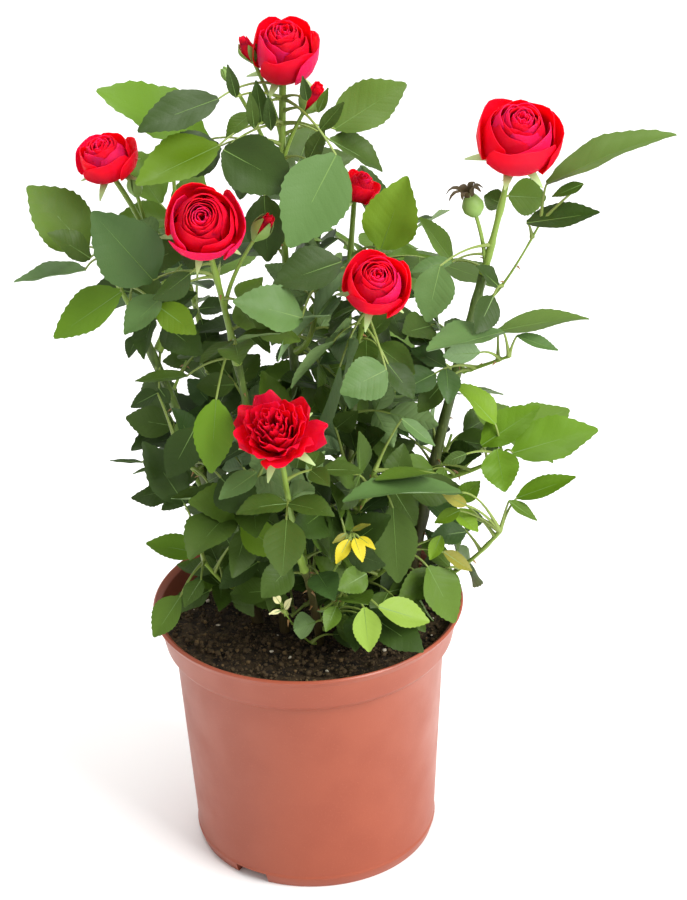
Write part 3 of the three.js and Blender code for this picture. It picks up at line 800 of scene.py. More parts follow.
@dataclass(frozen=True)
class CaneRow:
    """A cane: its foot on the soil, its tip, its radius at both, and how upright it starts."""

    foot: tuple[float, float]
    tip: Point
    root: float
    end: float
    upright: float


@dataclass(frozen=True)
class BloomRow:
    """A bloom: its radius, height, lobes, and how many petals it shows."""

    radius: float
    height: float
    lobes: int
    petals: int = 26
    crimson: bool = False


@dataclass(frozen=True)
class LeafRow:
    """A leaf: where on the stem, its tip, its end leaflet's length, its tone and its side leaflets' share.

    Attributes:
        size: The greatest length of its end leaflet. A row with a foot has its length from there.
        slim: Its breadth as a share of the usual one.
        face: Where its upper face looks, if not to the light.
        foot: Where its blade starts, if that is given too; it then has no side leaflets.
    """

    at: float
    tip: Point
    size: float
    tone: Tone | None = None
    share: float = 0.84
    slim: float = 1.0
    face: Point | None = None
    foot: Point | None = None


TO_EYE, LEVEL = (0.0, -0.9, 0.45), (0.0, 0.0, 1.0)


def blade(tip: Pixel, foot: Pixel, depths: tuple[float, float], tone: Tone, slim: float = 1.0,
          face: Point | None = None) -> LeafRow:
    """Place one leaflet as the photograph shows it, which has both its ends read by eye.

    Args:
        tip: The pixel of its tip.
        foot: The pixel of its foot.
        depths: How far its tip and its foot lie behind the pot's middle.
        tone: Its colours.
        slim: Its breadth as a share of the usual one.
        face: Where its upper face looks, if not to the light.

    Returns:
        Its row, before a stem is found for it.
    """
    tip_depth, foot_depth = depths
    end, start = VIEW.place(tip, tip_depth), VIEW.place(foot, foot_depth)
    return LeafRow(0, end, 0, tone, slim=slim, face=face, foot=start)


@dataclass(frozen=True)
class BudRow:
    """A bud: where its stalk leaves the stem, where it stands, and its radius.

    Attributes:
        open: How open it is, from 0 to 1.
        spent: Whether it withered unopened.
    """

    at: float
    place: Point
    radius: float
    open: float = 0.0
    spent: bool = False


@dataclass(frozen=True)
class ShootRow:
    """A leafy shoot: its name, the cane that bears it, where, and where its stem ends.

    Attributes:
        leaves: The leaves that have a place.
        spray: How many leaves are dealt round the stem, and the angle of the first.
        bloom: The bloom at its tip, if it has one.
        facing: Where the bloom looks.
        buds: Its buds.
        girth: Its thickness as a share of the usual one.
    """

    name: str
    cane: str
    at: float
    tip: Point
    leaves: tuple[LeafRow, ...]
    spray: tuple[int, float]
    bloom: BloomRow | None = None
    facing: Point | None = None
    buds: tuple[BudRow, ...] = ()
    girth: float = 1.0


CANES = {
    "cane_left": CaneRow((-19, -2), (-56, -8, 222), 2.3, 1.5, 0.15),
    "cane_mid_left": CaneRow((-9, -10), (-22, -20, 214), 2.0, 1.3, 0.3),
    "cane_centre": CaneRow((2, 8), (-3, 6, 232), 2.4, 1.5, 0.2),
    "cane_front": CaneRow((4, -20), (-1, -42, 140), 1.6, 1.3, 0.5),
    "cane_mid_right": CaneRow((13, -3), (21, -10, 208), 2.1, 1.4, 0.4),
    "cane_right": CaneRow((37, 6), (68, -3, 238), 2.5, 1.6, 0.2),
    "cane_back_left": CaneRow((-14, 20), (-36, 38, 200), 2.0, 1.3, 0.3),
    "cane_back_right": CaneRow((16, 22), (30, 44, 206), 2.0, 1.3, 0.3),
}

SHOOTS = (
    ShootRow(
        "top_bloom_shoot", "cane_centre", 1, (-1.5, 8, 314), facing=(0.05, -0.5, 0.87),
        bloom=BloomRow(12, 23, 5, petals=34),
        buds=(BudRow(0.72, (-12, 6, 320), 3.2, 0.8), BudRow(0.62, (6, 0, 303), 4.2, 0.6),
              BudRow(0.5, (-20, 4, 313), 2.0)),
        leaves=(
            blade((98, 87), (207, 140), (20, 16), Tone.FRESH),
            blade((137, 128), (218, 99), (-14, -6), Tone.DARK, 0.95),
            blade((136, 185), (218, 146), (-26, -14), Tone.OLIVE),
            blade((296, 189), (224, 150), (-36, -20), Tone.DARK, 1.05, TO_EYE),
            blade((222, 143), (248, 122), (-8, -4), Tone.MID, 1.1),
            blade((228, 66), (236, 97), (-16, -12), Tone.DARK, 0.5, TO_EYE),
            blade((256, 80), (262, 124), (-12, -8), Tone.DARK, 0.55, TO_EYE),
            blade((243, 93), (247, 127), (-20, -16), Tone.DEEP, 0.5, TO_EYE),
            blade((268, 98), (271, 130), (-18, -14), Tone.DARK, 0.5, TO_EYE),
            blade((303, 78), (307, 100), (-14, -10), Tone.DARK, 0.6, TO_EYE),
            blade((324, 84), (315, 107), (-12, -8), Tone.MID, 0.5, TO_EYE),
            blade((347, 100), (323, 128), (-8, -6), Tone.DEEP, 0.6, TO_EYE),
            blade((324, 118), (308, 150), (-6, -2), Tone.DEEP, 0.7, TO_EYE),
            blade((406, 83), (335, 129), (12, 6), Tone.MID, 1.2),
            blade((385, 169), (330, 140), (4, 2), Tone.DEEP),
        ),
        spray=(2, 75),
    ),
    ShootRow(
        "bloom_shoot_mid_left", "cane_mid_left", 1, (-31, -31, 271), facing=(0, -0.75, 0.66),
        bloom=BloomRow(14.5, 18, 5, petals=36), buds=(BudRow(0.45, (-13, -30, 268), 3.6, 0.35),),
        leaves=(
            blade((190, 296), (168, 236), (-44, -34), Tone.BLUISH, 1, TO_EYE),
        ),
        spray=(1, 200),
    ),
    ShootRow(
        "left_shoot", "cane_left", 1, (-68, -8, 252),
        leaves=(
            blade((92, 212), (153, 280), (-38, -32), Tone.PINE, 1.05, TO_EYE),
            blade((30, 185), (86, 248), (0, -4), Tone.MID, 1.15),
            blade((50, 232), (90, 258), (-24, -20), Tone.DEEP),
            blade((14, 282), (85, 270), (-10, -12), Tone.BLUISH, 0.8, LEVEL),
            blade((66, 292), (86, 258), (-16, -12), Tone.MID, 0.8),
            blade((54, 338), (121, 292), (-30, -26), Tone.FRESH),
            blade((123, 333), (161, 298), (-36, -30), Tone.BLUISH, 1.1),
            blade((196, 334), (158, 306), (-38, -30), Tone.OLIVE),
        ),
        spray=(1, 100),
    ),
    ShootRow(
        "left_bloom_shoot", "cane_left", 0.93, (-64, -1, 282), facing=(-0.2, -0.3, 0.93),
        bloom=BloomRow(11.5, 14, 5, petals=28), buds=(BudRow(0.6, (-55, -4, 275), 2.8),),
        leaves=(),
        spray=(1, 60),
    ),
    ShootRow(
        "centre_spray", "cane_centre", 0.82, (8, -12, 252),
        leaves=(
            blade((289, 247), (336, 155), (-46, -30), Tone.BLUISH, 1.05, TO_EYE),
            blade((268, 262), (264, 196), (-20, -14), Tone.DARK, 1, TO_EYE),
            blade((273, 285), (341, 262), (-36, -28), Tone.DARK),
            blade((236, 300), (302, 318), (-46, -38), Tone.BLUISH),
        ),
        spray=(2, 300),
    ),
    ShootRow(
        "bloom_shoot_mid_right", "cane_mid_right", 1, (27, -32, 245), facing=(0.1, -0.6, 0.8),
        bloom=BloomRow(12.5, 15.5, 5, petals=32),
        leaves=(),
        spray=(2, 110),
    ),
    ShootRow(
        "bloom_shoot_back", "cane_mid_right", 0.88, (22.5, 11, 264), facing=(0.4, -0.2, 0.9),
        bloom=BloomRow(7.2, 10.5, 4, petals=18),
        leaves=(
            blade((406, 178), (381, 249), (0, 2), Tone.YELLOW_GREEN, 1.05, TO_EYE),
            blade((420, 217), (452, 262), (8, 6), Tone.MID),
            blade((398, 253), (440, 245), (0, 2), Tone.BLUISH, 0.7, LEVEL),
        ),
        spray=(1, 100),
    ),
    ShootRow(
        "right_bloom_shoot", "cane_right", 1, (78.5, -3, 283), facing=(0.12, -0.5, 0.86),
        bloom=BloomRow(15.5, 23, 5, petals=38), buds=(BudRow(0.05, (65, -4, 263), 4, spent=True),),
        leaves=(
            blade((546, 198), (509, 196), (10, 8), Tone.MID, 1.5, TO_EYE),
            blade((484, 196), (503, 204), (10, 6), Tone.DEEP, 1.6, TO_EYE),
        ),
        spray=(0, 0),
    ),
    ShootRow(
        "right_tip_shoot", "cane_right", 0.93, (88, -9, 260),
        leaves=(
            blade((600, 213), (527, 223), (-14, -10), Tone.DARK, 0.72),
            blade((671, 124), (547, 184), (-10, -8), Tone.MID, 0.8, LEVEL),
            blade((552, 197), (583, 184), (-14, -12), Tone.DEEP, 0.7),
        ),
        spray=(0, 0), girth=0.55,
    ),
    ShootRow(
        "right_mid_spray", "cane_right", 0.74, (76, -18, 212),
        leaves=(
            blade((588, 313), (498, 331), (-14, -12), Tone.MID, 0.9, LEVEL),
            blade((558, 351), (517, 336), (-22, -18), Tone.BLUISH, 0.6),
            blade((427, 352), (503, 332), (-38, -18), Tone.BLUISH, 0.9, LEVEL),
            blade((427, 322), (440, 266), (-24, -16), Tone.BLUISH, 1.1, TO_EYE),
        ),
        spray=(0, 0), girth=0.8,
    ),
    ShootRow(
        "right_low_spray", "cane_right", 0.42, (74, -12, 168),
        leaves=(
            blade((598, 428), (513, 453), (-14, -18), Tone.FRESH, 0.95),
            blade((546, 409), (488, 447), (-6, -12), Tone.FRESH, 0.9),
            blade((505, 492), (497, 450), (-34, -22), Tone.FRESH, 1.3, TO_EYE),
            blade((452, 378), (490, 420), (-4, -8), Tone.YELLOW_GREEN),
            blade((418, 412), (442, 384), (-20, -14), Tone.DEEP),
            blade((443, 463), (466, 454), (-28, -26), Tone.DEEP, 0.8, TO_EYE),
        ),
        spray=(2, 30),
    ),
    ShootRow(
        "right_twig_spray", "cane_right", 0.1, (72, -26, 144),
        leaves=(
            blade((576, 477), (517, 498), (-24, -22), Tone.FRESH, 0.6),
            blade((542, 521), (514, 501), (-28, -24), Tone.MID, 0.75),
            blade((478, 532), (455, 510), (-32, -26), Tone.YELLOW_GREEN),
            blade((497, 506), (466, 514), (-26, -22), Tone.YELLOW_GREEN, 0.9),
            blade((480, 481), (459, 500), (-26, -24), Tone.FRESH, 1, TO_EYE),
            blade((480, 531), (456, 518), (-30, -28), Tone.YELLOW_GREEN, 0.9),
            blade((432, 523), (457, 511), (-32, -30), Tone.OLIVE, 0.8),
            blade((436, 496), (460, 508), (-36, -33), Tone.WITHERED, 0.6, TO_EYE),
        ),
        spray=(1, 110),
    ),
    ShootRow(
        "low_right_spray", "cane_mid_right", 0.16, (36, -20, 133),
        leaves=(
            blade((457, 623), (428, 567), (-32, -26), Tone.MID),
            blade((398, 583), (393, 508), (-50, -42), Tone.DEEP, 0.9, TO_EYE),
            blade((430, 560), (441, 536), (-26, -22), Tone.YELLOW_GREEN, 0.9),
            blade((478, 564), (450, 545), (-24, -22), Tone.WITHERED, 0.8),
        ),
        spray=(1, 90),
    ),
    ShootRow(
        "right_back_spray", "cane_right", 0.3, (58, 30, 156),
        leaves=(LeafRow(0.8, (80, 42, 160), 32, Tone.DEEP),),
        spray=(2, 75),
    ),
    ShootRow(
        "centre_low_spray", "cane_mid_right", 0.45, (26, -34, 176),
        leaves=(
            blade((342, 392), (386, 370), (-50, -40), Tone.BLUISH, 1.3, TO_EYE),
            blade((415, 398), (388, 364), (-34, -28), Tone.DARK),
            blade((435, 446), (402, 419), (-36, -32), Tone.BLUISH, 0.6),
            blade((336, 495), (452, 496), (-60, -36), Tone.BLUISH, 0.6, LEVEL),
            blade((368, 488), (428, 480), (-50, -38), Tone.MID, 0.9, LEVEL),
        ),
        spray=(2, 250),
    ),
    ShootRow(
        "front_bloom_shoot", "cane_front", 1, (-8, -56, 201), facing=(-0.1, -0.6, 0.8),
        bloom=BloomRow(15, 20, 6, petals=52, crimson=True),
        leaves=(),
        spray=(1, 30),
    ),
    ShootRow(
        "low_front_spray", "cane_front", 0.35, (14, -36, 128),
        leaves=(
            blade((304, 550), (261, 520), (-58, -48), Tone.OLIVE, 1, TO_EYE),
            blade((262, 597), (290, 566), (-56, -48), Tone.DEEP, 1.2, TO_EYE),
            blade((326, 631), (336, 607), (-60, -52), Tone.MID),
            blade((338, 590), (366, 574), (-56, -48), Tone.MID, 1.2, TO_EYE),
            blade((429, 622), (379, 607), (-46, -50), Tone.LIME, 0.85),
            blade((376, 654), (371, 610), (-56, -50), Tone.LIME, 1, TO_EYE),
        ),
        spray=(1, 200),
    ),
    ShootRow(
        "left_mid_spray", "cane_left", 0.56, (-46, -24, 186),
        leaves=(
            blade((128, 358), (137, 336), (-22, -20), Tone.DARK, 1.1),
            blade((135, 381), (187, 376), (-14, -16), Tone.MID, 0.8, LEVEL),
            blade((130, 406), (157, 392), (-12, -12), Tone.DARK, 1.1),
            blade((170, 407), (159, 392), (-14, -12), Tone.DARK, 1.1),
            blade((211, 474), (216, 400), (-56, -46), Tone.FRESH, 0.85, TO_EYE),
            blade((168, 478), (195, 428), (-34, -28), Tone.DARK, 1, TO_EYE),
        ),
        spray=(1, 320),
    ),
    ShootRow(
        "low_left_spray", "cane_left", 0.16, (-38, -26, 136),
        leaves=(
            blade((144, 443), (184, 503), (-26, -30), Tone.DARK, 0.8),
            blade((110, 461), (142, 462), (-20, -22), Tone.DARK, 0.4, LEVEL),
            blade((127, 472), (147, 468), (-20, -24), Tone.DEEP, 0.5, LEVEL),
            blade((146, 543), (200, 553), (-30, -34), Tone.FRESH, 0.8),
            blade((154, 637), (180, 597), (-42, -38), Tone.MID),
            blade((184, 606), (201, 580), (-46, -38), Tone.DEEP),
        ),
        spray=(0, 0),
    ),
    ShootRow(
        "mid_left_spray", "cane_mid_left", 0.52, (-20, -36, 178),
        leaves=(
            blade((219, 499), (256, 473), (-60, -50), Tone.BLUISH, 0.8),
            blade((190, 500), (262, 506), (-46, -42), Tone.MID),
        ),
        spray=(2, 250),
    ),
    ShootRow(
        "left_back_spray", "cane_left", 0.4, (-50, 18, 172),
        leaves=(LeafRow(0.8, (-58, 42, 182), 30, Tone.DEEP), LeafRow(0.4, (-56, 36, 154), 28, Tone.DARK)),
        spray=(1, 70),
    ),
    ShootRow(
        "back_left_shoot", "cane_back_left", 1, (-44, 46, 244), buds=(BudRow(0.9, (-44, 48, 262), 3.6),),
        leaves=(LeafRow(0.8, (-64, 64, 266), 34, Tone.MID),),
        spray=(4, 80),
    ),
    ShootRow(
        "back_right_shoot", "cane_back_right", 1, (32, 52, 226), buds=(BudRow(0.9, (31, 54, 240), 3.6, 0.2),),
        leaves=(LeafRow(0.8, (48, 72, 218), 34, Tone.MID),),
        spray=(3, 60),
    ),
    ShootRow(
        "back_left_spray", "cane_back_left", 0.45, (-32, 50, 168),
        leaves=(LeafRow(0.8, (-48, 82, 178), 32, Tone.DEEP),),
        spray=(3, 100),
    ),
    ShootRow(
        "back_right_spray", "cane_back_right", 0.45, (30, 54, 170),
        leaves=(LeafRow(0.8, (44, 86, 180), 32, Tone.MID),),
        spray=(3, 60),
    ),
)
FOLIAGE_NODES = tuple(row.name for row in SHOOTS)

# Fine growth that the solids leave out: the withered spray and the pale sprout.
FINE_SHOOTS = (
    ShootRow(
        "withered_spray", "cane_front", 0.72, VIEW.place((352, 534), -54), girth=0.5, spray=(0, 0),
        leaves=(
            blade((336, 563), (349, 540), (-64, -58), Tone.YELLOW, 0.8),
            blade((362, 564), (354, 541), (-66, -59), Tone.YELLOW, 0.85),
            blade((376, 549), (360, 538), (-61, -57), Tone.YELLOW, 0.7),
            blade((372, 526), (354, 532), (-58, -56), Tone.WITHERED, 0.6),
            blade((333, 545), (346, 536), (-58, -55), Tone.WITHERED, 0.6),
        ),
    ),
    ShootRow(
        "pale_sprout", "cane_front", 0.12, VIEW.place((281, 607), -48), girth=0.4, spray=(0, 0),
        leaves=(
            blade((273, 593), (280, 603), (-52, -50), Tone.PALE, 0.7),
            blade((288, 593), (282, 603), (-52, -50), Tone.PALE, 0.7),
            blade((267, 611), (278, 608), (-52, -50), Tone.PALE, 0.6),
            blade((294, 611), (284, 608), (-52, -50), Tone.PALE, 0.6),
        ),
    ),
)


@dataclass(frozen=True)
class Window:
    """A gap that the photograph shows among the shoots: its middle's pixel, and its half width and height."""

    across: float
    down: float
    wide: float
    tall: float

    def shows(self, pixel: Pixel) -> bool:
        """Test whether a pixel lies in it."""
        return ((pixel[0] - self.across) / self.wide) ** 2 + ((pixel[1] - self.down) / self.tall) ** 2 < 1


# Gaps to the sky from the top down, then those along the right cane, then the bare soil in front.
SKY = (
    Window(216, 118, 9, 11), Window(205, 180, 9, 6), Window(126, 186, 8, 7), Window(95, 200, 14, 12),
    Window(148, 205, 9, 12), Window(351, 218, 8, 14), Window(460, 240, 14, 24), Window(305, 248, 14, 5),
    Window(262, 272, 10, 8), Window(206, 275, 9, 12), Window(232, 275, 8, 8), Window(464, 285, 10, 12),
    Window(262, 350, 7, 6), Window(166, 355, 11, 18), Window(435, 370, 14, 10), Window(190, 400, 9, 10),
    Window(450, 435, 7, 10), Window(405, 440, 9, 6), Window(427, 458, 8, 16), Window(332, 466, 11, 6),
    Window(455, 476, 8, 8), Window(183, 517, 9, 12), Window(410, 533, 7, 6), Window(433, 533, 10, 8),
    Window(520, 205, 12, 20), Window(508, 290, 11, 22), Window(495, 375, 20, 13), Window(535, 375, 30, 18),
    Window(500, 545, 20, 20),
    Window(471, 363, 8, 11), Window(462, 384, 7, 12), Window(451, 408, 7, 13), Window(444, 438, 6, 15),
    Window(441, 466, 6, 12),
    Window(225, 625, 42, 22), Window(300, 645, 40, 14),
)

# The crown's sides in the photograph: how far down a pixel is, then the left and the right edge there.
CROWN = (
    (150, 235, 345), (190, 195, 395), (250, 128, 440), (290, 120, 455), (330, 135, 470), (370, 175, 475),
    (400, 190, 478), (440, 185, 480), (475, 165, 478), (550, 165, 465), (660, 150, 460),
)


# The rule that the leaves grow by

@dataclass(frozen=True)
class Rule:
    """The numbers of the rule, as the solids have them."""

    seed: int = 7
    gap: float = 0.3
    soil_level: float = 95
    cane_spare: float = 3
    cane_sides: int = 6
    cane_steps: int = 6
    shoot_root: float = 1.5
    shoot_end: float = 1.0
    shoot_sides: int = 4
    shoot_steps: int = 5
    stalk_root: float = 0.9
    stalk_end: float = 0.7
    side_lean: float = 0.6
    pull: float = 0.4
    thin_pull: float = 0.15
    attempts: int = 11
    stray_placed: float = 1.3
    stray_spray: float = 7
    twist: float = 2
    shrink: float = 0.012
    spray_turn: float = 137.5
    spray_sway: float = 12
    spray_lift: tuple[float, float] = (-8, 32)
    spray_reach: tuple[float, float] = (46, 62)
    spray_size: tuple[float, float] = (26, 33)
    spray_from: float = 0.15
    spray_to: float = 0.9

    @property
    def margin(self) -> float:
        """Room kept round a leaflet."""
        return 1.5 * self.gap


@dataclass(frozen=True)
class HomeRule:
    """How a leaflet of the photograph finds its stem: what each fault of a stalk costs, in millimetres.

    Attributes:
        step: How close the places that are tried stand on a stem, as a share of it.
        bend: The cost of a stalk that turns sharply into its midrib.
        stranger: The cost of another stem than its own row's.
        crowded: The cost of a stalk that is shorter than the shortest.
        shortest: The shortest good stalk.
    """

    step: float = 0.05
    bend: float = 8
    stranger: float = 9
    crowded: float = 20
    shortest: float = 4

    def cost(self, node: np.ndarray, row: LeafRow) -> float:
        """Give what a leaflet's stalk from a place on a stem costs.

        Args:
            node: The place.
            row: The leaflet.

        Returns:
            Its length and the cost of its faults.
        """
        foot = np.array(row.foot)
        rib = foot - node
        reach = np.linalg.norm(rib)
        bend = self.bend * (1 - unit(rib) @ unit(np.array(row.tip) - foot))
        return reach + bend + self.crowded * (reach < self.shortest)


@dataclass(frozen=True)
class FillRule:
    """The numbers of the growth that goes on inside the crown: second pairs, thin twigs and small leaves."""

    pair_back: float = 0.5
    pair_foot: float = 0.18
    pair_sway: tuple[float, float] = (0, 14)
    pair_size: tuple[float, float] = (0.66, 0.82)
    pair_margin: float = 0.1
    twigs: int = 5
    twig_from: float = 0.1
    twig_step: float = 0.17
    twig_sway: float = 0.03
    twig_reach: float = 13
    twig_rise: tuple[float, float] = (6, 13)
    twig_girth: float = 0.6
    twig_root: float = 0.9
    twig_end: float = 0.7
    leaves_on_twig: int = 4
    leaves_on_shoot: int = 6
    leaf_from: float = 0.1
    leaf_to: float = 0.85
    leaf_turn: float = 60
    leaf_sway: float = 20
    leaf_lift: tuple[float, float] = (-25, 35)
    leaf_reach: tuple[float, float] = (26, 40)
    leaf_size: tuple[float, float] = (16, 24)
    leaf_share: float = 0.8
    leaf_stray: float = 9


@dataclass(frozen=True)
class LeafRule:
    """The numbers of a compound leaf, as the solids have them."""

    width: float = 0.58
    thickness: float = 0.65
    fold: float = 0.22
    end_rows: tuple[tuple[float, float], ...] = ((0.3, 1), (0.68, 0.8))
    side_rows: tuple[tuple[float, float], ...] = ((0.4, 1.1),)
    stalk: float = 0.3
    rib_root: float = 0.9
    rib_end: float = 0.72
    rib_arch: float = 0.11
    rib_clear: float = 0.3
    pair_back: float = 0.32
    shortest_stalk: float = 0.14
    longest_end: float = 0.68
    spread: float = 63
    root_out: float = 0.15
    end_sunk: float = 0.2
    end_share: float = 0.97
    tip_arch: float = 0.7
    side_droop: tuple[float, float] = (0.04, 0.14)
    side_lift: tuple[float, float] = (-0.1, 0.16)
    side_size: tuple[float, float] = (0.92, 1.05)
    side_sway: float = 6
    side_roll: float = 14


RULE = Rule()
HOME = HomeRule()
FILL = FillRule()
LEAF = LeafRule()
# The tones that leaves without a place of their own are dealt, on the shoots and inside the crown.
SHOOT_TONES = (Tone.DARK, Tone.DEEP, Tone.DEEP, Tone.MID, Tone.MID, Tone.PINE)
INNER_TONES = (Tone.DARK, Tone.DARK, Tone.DEEP, Tone.DEEP, Tone.MID, Tone.PINE)
# Radius, height and lobes of a bloom's cup, as shares of the bloom's sizes, and radius and height of a bud's.
BLOOM_ROWS = ((0, -0.14, 0), (0.5, 0.08, 0), (0.86, 0.42, 0.04), (0.94, 0.86, 0.12), (0.7, 0.74, -0.04),
              (0.55, 1, -0.08), (0, 0.86, 0))
BUD_ROWS = ((0, -0.3), (0.4, -0.2), (0.85, 0.5), (1, 1.2), (0.7, 2), (0, 3))


@dataclass
class Leaflet:
    """One blade: where it roots, its three directions, and its sizes."""

    root: np.ndarray
    along: np.ndarray
    across: np.ndarray
    normal: np.ndarray
    length: float
    width: float
    droop: float
    rows: tuple[tuple[float, float], ...]
    is_end: bool = False

    def point(self, t: float, half_width: float, s: float, lift: float) -> np.ndarray:
        """Give a point of the blade's plain surface.

        Args:
            t: The share of the way from its root to its tip.
            half_width: Its half width there.
            s: The share of the half width, from edge to edge.
            lift: How far above the surface the point is.

        Returns:
            The point.
        """
        rise = abs(s) * half_width * LEAF.fold - self.droop * self.length * t * t + lift
        return (self.root + self.along * (self.length * t) + self.across * (half_width * s)
                + self.normal * rise)

    def solid(self, margin: float = 0.0) -> Shape:
        """Give the plain blade as a closed shape.

        Args:
            margin: Room kept round it.

        Returns:
            Points and faces.
        """
        stalk = LEAF.stalk
        points = [self.point(0, stalk, 1, 0), self.point(0, stalk, -1, 0), self.point(0, 0, 0, -stalk),
                  self.point(1 + margin / self.length, 0, 0, 0)]
        left, right, under_root, tip = range(4)
        faces: list[tuple[int, ...]] = [(left, under_root, right)]
        rows = []
        for t, share in self.rows:
            half = self.width * 0.5 * share + margin
            first = len(points)
            points += [self.point(t, half, 1, 0), self.point(t, half, -1, 0), self.point(t, half, 0, margin),
                       self.point(t, half, 0, -LEAF.thickness - margin)]
            rows.append((first, first + 1, first + 2, first + 3))
        faces.append((left, right, rows[0][2]))
        for layer, root_middles in ((2, ()), (3, (under_root,))):
            near = rows[0]
            faces += [(right, near[1], near[layer]), (near[0], left, near[layer])]
            for middle in root_middles:
                faces += [(middle, right, near[layer]), (left, middle, near[layer])]
            for before, far in zip(rows, rows[1:]):
                faces += [(before[layer], before[1], far[1]), (before[layer], far[1], far[layer]),
                          (before[layer], far[layer], far[0]), (before[layer], far[0], before[0])]
            last = rows[-1]
            faces += [(last[layer], last[1], tip), (last[layer], tip, last[0])]
        return np.array(points), faces


def leaflet_at(root: np.ndarray, along: np.ndarray, facing: np.ndarray, length: float,
               droop: float = 0.08, is_end: bool = False, width: float | None = None) -> Leaflet:
    """Grow a blade from a root along a direction, with its upper face towards the light.

    Args:
        root: Where it roots.
        along: The direction of its midrib.
        facing: Where its upper face looks.
        length: Its length.
        droop: How far its tip hangs, as a share of its length.
        is_end: Whether it ends its leaf.
        width: Its width, if not the usual one.

    Returns:
        The leaflet.
    """
    normal = unit(facing - along * (facing @ along))
    across = np.cross(normal, along)
    rows = LEAF.end_rows if is_end else LEAF.side_rows
    breadth = length * LEAF.width if width is None else width
    return Leaflet(root, along, across, normal, length, breadth, droop, rows, is_end)


def light_at(place: np.ndarray) -> np.ndarray:
    """Give the direction that a leaf at this place turns its upper face to.

    Args:
        place: The leaf's tip.

    Returns:
        A unit vector.
    """
    outward = np.array([place[0], place[1], 0.0])
    reach = np.linalg.norm(outward)
    if reach > 0:
        outward = outward / reach
    return unit(np.array([outward[0] * 0.3, outward[1] * 0.5 - 0.3, 0.85]))


@dataclass
class Leaf:
    """A grown leaf: its rib, its blades, the end one first, and its tone."""

    rib: Curve
    leaflets: list[Leaflet]
    row: LeafRow
    tone: Tone = Tone.MID


def side_pair(rib: Curve, place: float, facing: np.ndarray, length: float, sway: tuple[float, float],
              sizes: tuple[float, float], dice: Dice) -> list[Leaflet]:
    """Draw two leaflets that face each other across a rib.

    Args:
        rib: The rib.
        place: The share of the rib at which they stand.
        facing: Where the leaf's upper face looks.
        length: Their usual length.
        sway: Between which angles they stray from the usual spread.
        sizes: Between which shares of the usual length theirs lie.
        dice: What varies them.

    Returns:
        The two leaflets.
    """
    rib_along = rib.tangent(place)
    up = unit(facing - rib_along * (facing @ rib_along))
    sideways = np.cross(up, rib_along)
    pair = []
    for hand in (1, -1):
        spread = math.radians(LEAF.spread + dice.between(*sway))
        direction = unit(rib_along * math.cos(spread) + sideways * (hand * math.sin(spread))
                         + up * dice.between(*LEAF.side_lift))
        roll = math.radians(dice.between(-LEAF.side_roll, LEAF.side_roll))
        tilted = turned(up, direction, roll)
        root = rib.point(place) + direction * LEAF.root_out
        side_length = length * dice.between(*sizes)
        pair.append(leaflet_at(root, direction, tilted, side_length, dice.between(*LEAF.side_droop)))
    return pair


def compound_leaf(node: np.ndarray, tip: np.ndarray, size: float, row: LeafRow, twist: float,
                  dice: Dice) -> Leaf:
    """Draw a compound leaf from its node on the stem to its tip.

    Args:
        node: Where its rib leaves the stem.
        tip: The tip of its end leaflet.
        size: The length of its end leaflet.
        row: The leaf's other sizes.
        twist: How far its face turns, in radians.
        dice: The rule's random numbers.

    Returns:
        The leaf, before anything is left out.
    """
    reach = np.linalg.norm(tip - node)
    end_size = min(size, reach * LEAF.longest_end)
    arch = LEAF.rib_arch * reach
    if row.foot:
        rib_end = tip + np.array(row.foot, dtype=float) - np.array(row.tip, dtype=float)
    else:
        rib_end = lerp(node, tip, 1 - (end_size * LEAF.end_share) / reach) + UP * (arch * LEAF.tip_arch)
    rib = Curve(node, lerp(node, rib_end, 0.5) + UP * arch, rib_end)
    rib_length = rib.length()
    along = unit(tip - rib_end)
    facing = turned(unit(np.array(row.face)) if row.face else light_at(tip), along, twist)
    root = rib_end - along * LEAF.end_sunk
    length = float(np.linalg.norm(tip - root))
    leaflets = [leaflet_at(root, along, facing, length, 0, True, length * LEAF.width * row.slim)]
    back = end_size * LEAF.pair_back
    if row.foot or back > rib_length - end_size * LEAF.shortest_stalk:
        return Leaf(rib, leaflets, row)
    sway = (-LEAF.side_sway, LEAF.side_sway)
    pair = side_pair(rib, 1 - back / rib_length, facing, end_size * row.share, sway, LEAF.side_size, dice)
    return Leaf(rib, leaflets + pair, row)


def shows_sky(place: np.ndarray) -> bool:
    """Test whether a point would show in a window."""
    pixel = VIEW.pixel(place)
    return any(window.shows(pixel) for window in SKY)


def closes_sky(leaflet: Leaflet) -> bool:
    """Test whether a leaflet would close a window, which it does where two spots on it show in one.

    Args:
        leaflet: The leaflet.

    Returns:
        Whether it would.
    """
    half = 0.3 * leaflet.width
    spots = [leaflet.point(t, half, s, 0) for t, s in ((0.3, 0), (0.5, 0), (0.7, 0), (0.5, 1), (0.5, -1))]
    return sum(shows_sky(spot) for spot in spots) > 1


def is_in_crown(place: np.ndarray) -> bool:
    """Test whether a point stands between the crown's sides, as the front shows them.

    Args:
        place: The point.

    Returns:
        Whether it does.
    """
    across, down = VIEW.pixel(place)
    levels, left, right = zip(*CROWN)
    is_between = np.interp(down, levels, left) < across < np.interp(down, levels, right)
    return levels[0] < down < levels[-1] and is_between


def away_at(azimuth: float, lift: float) -> np.ndarray:
    """Give a direction.

    Args:
        azimuth: Its angle round the plant, in radians.
        lift: How far it points up, in radians.

    Returns:
        A unit vector.
    """
    level = math.cos(lift)
    return np.array([math.cos(azimuth) * level, math.sin(azimuth) * level, math.sin(lift)])


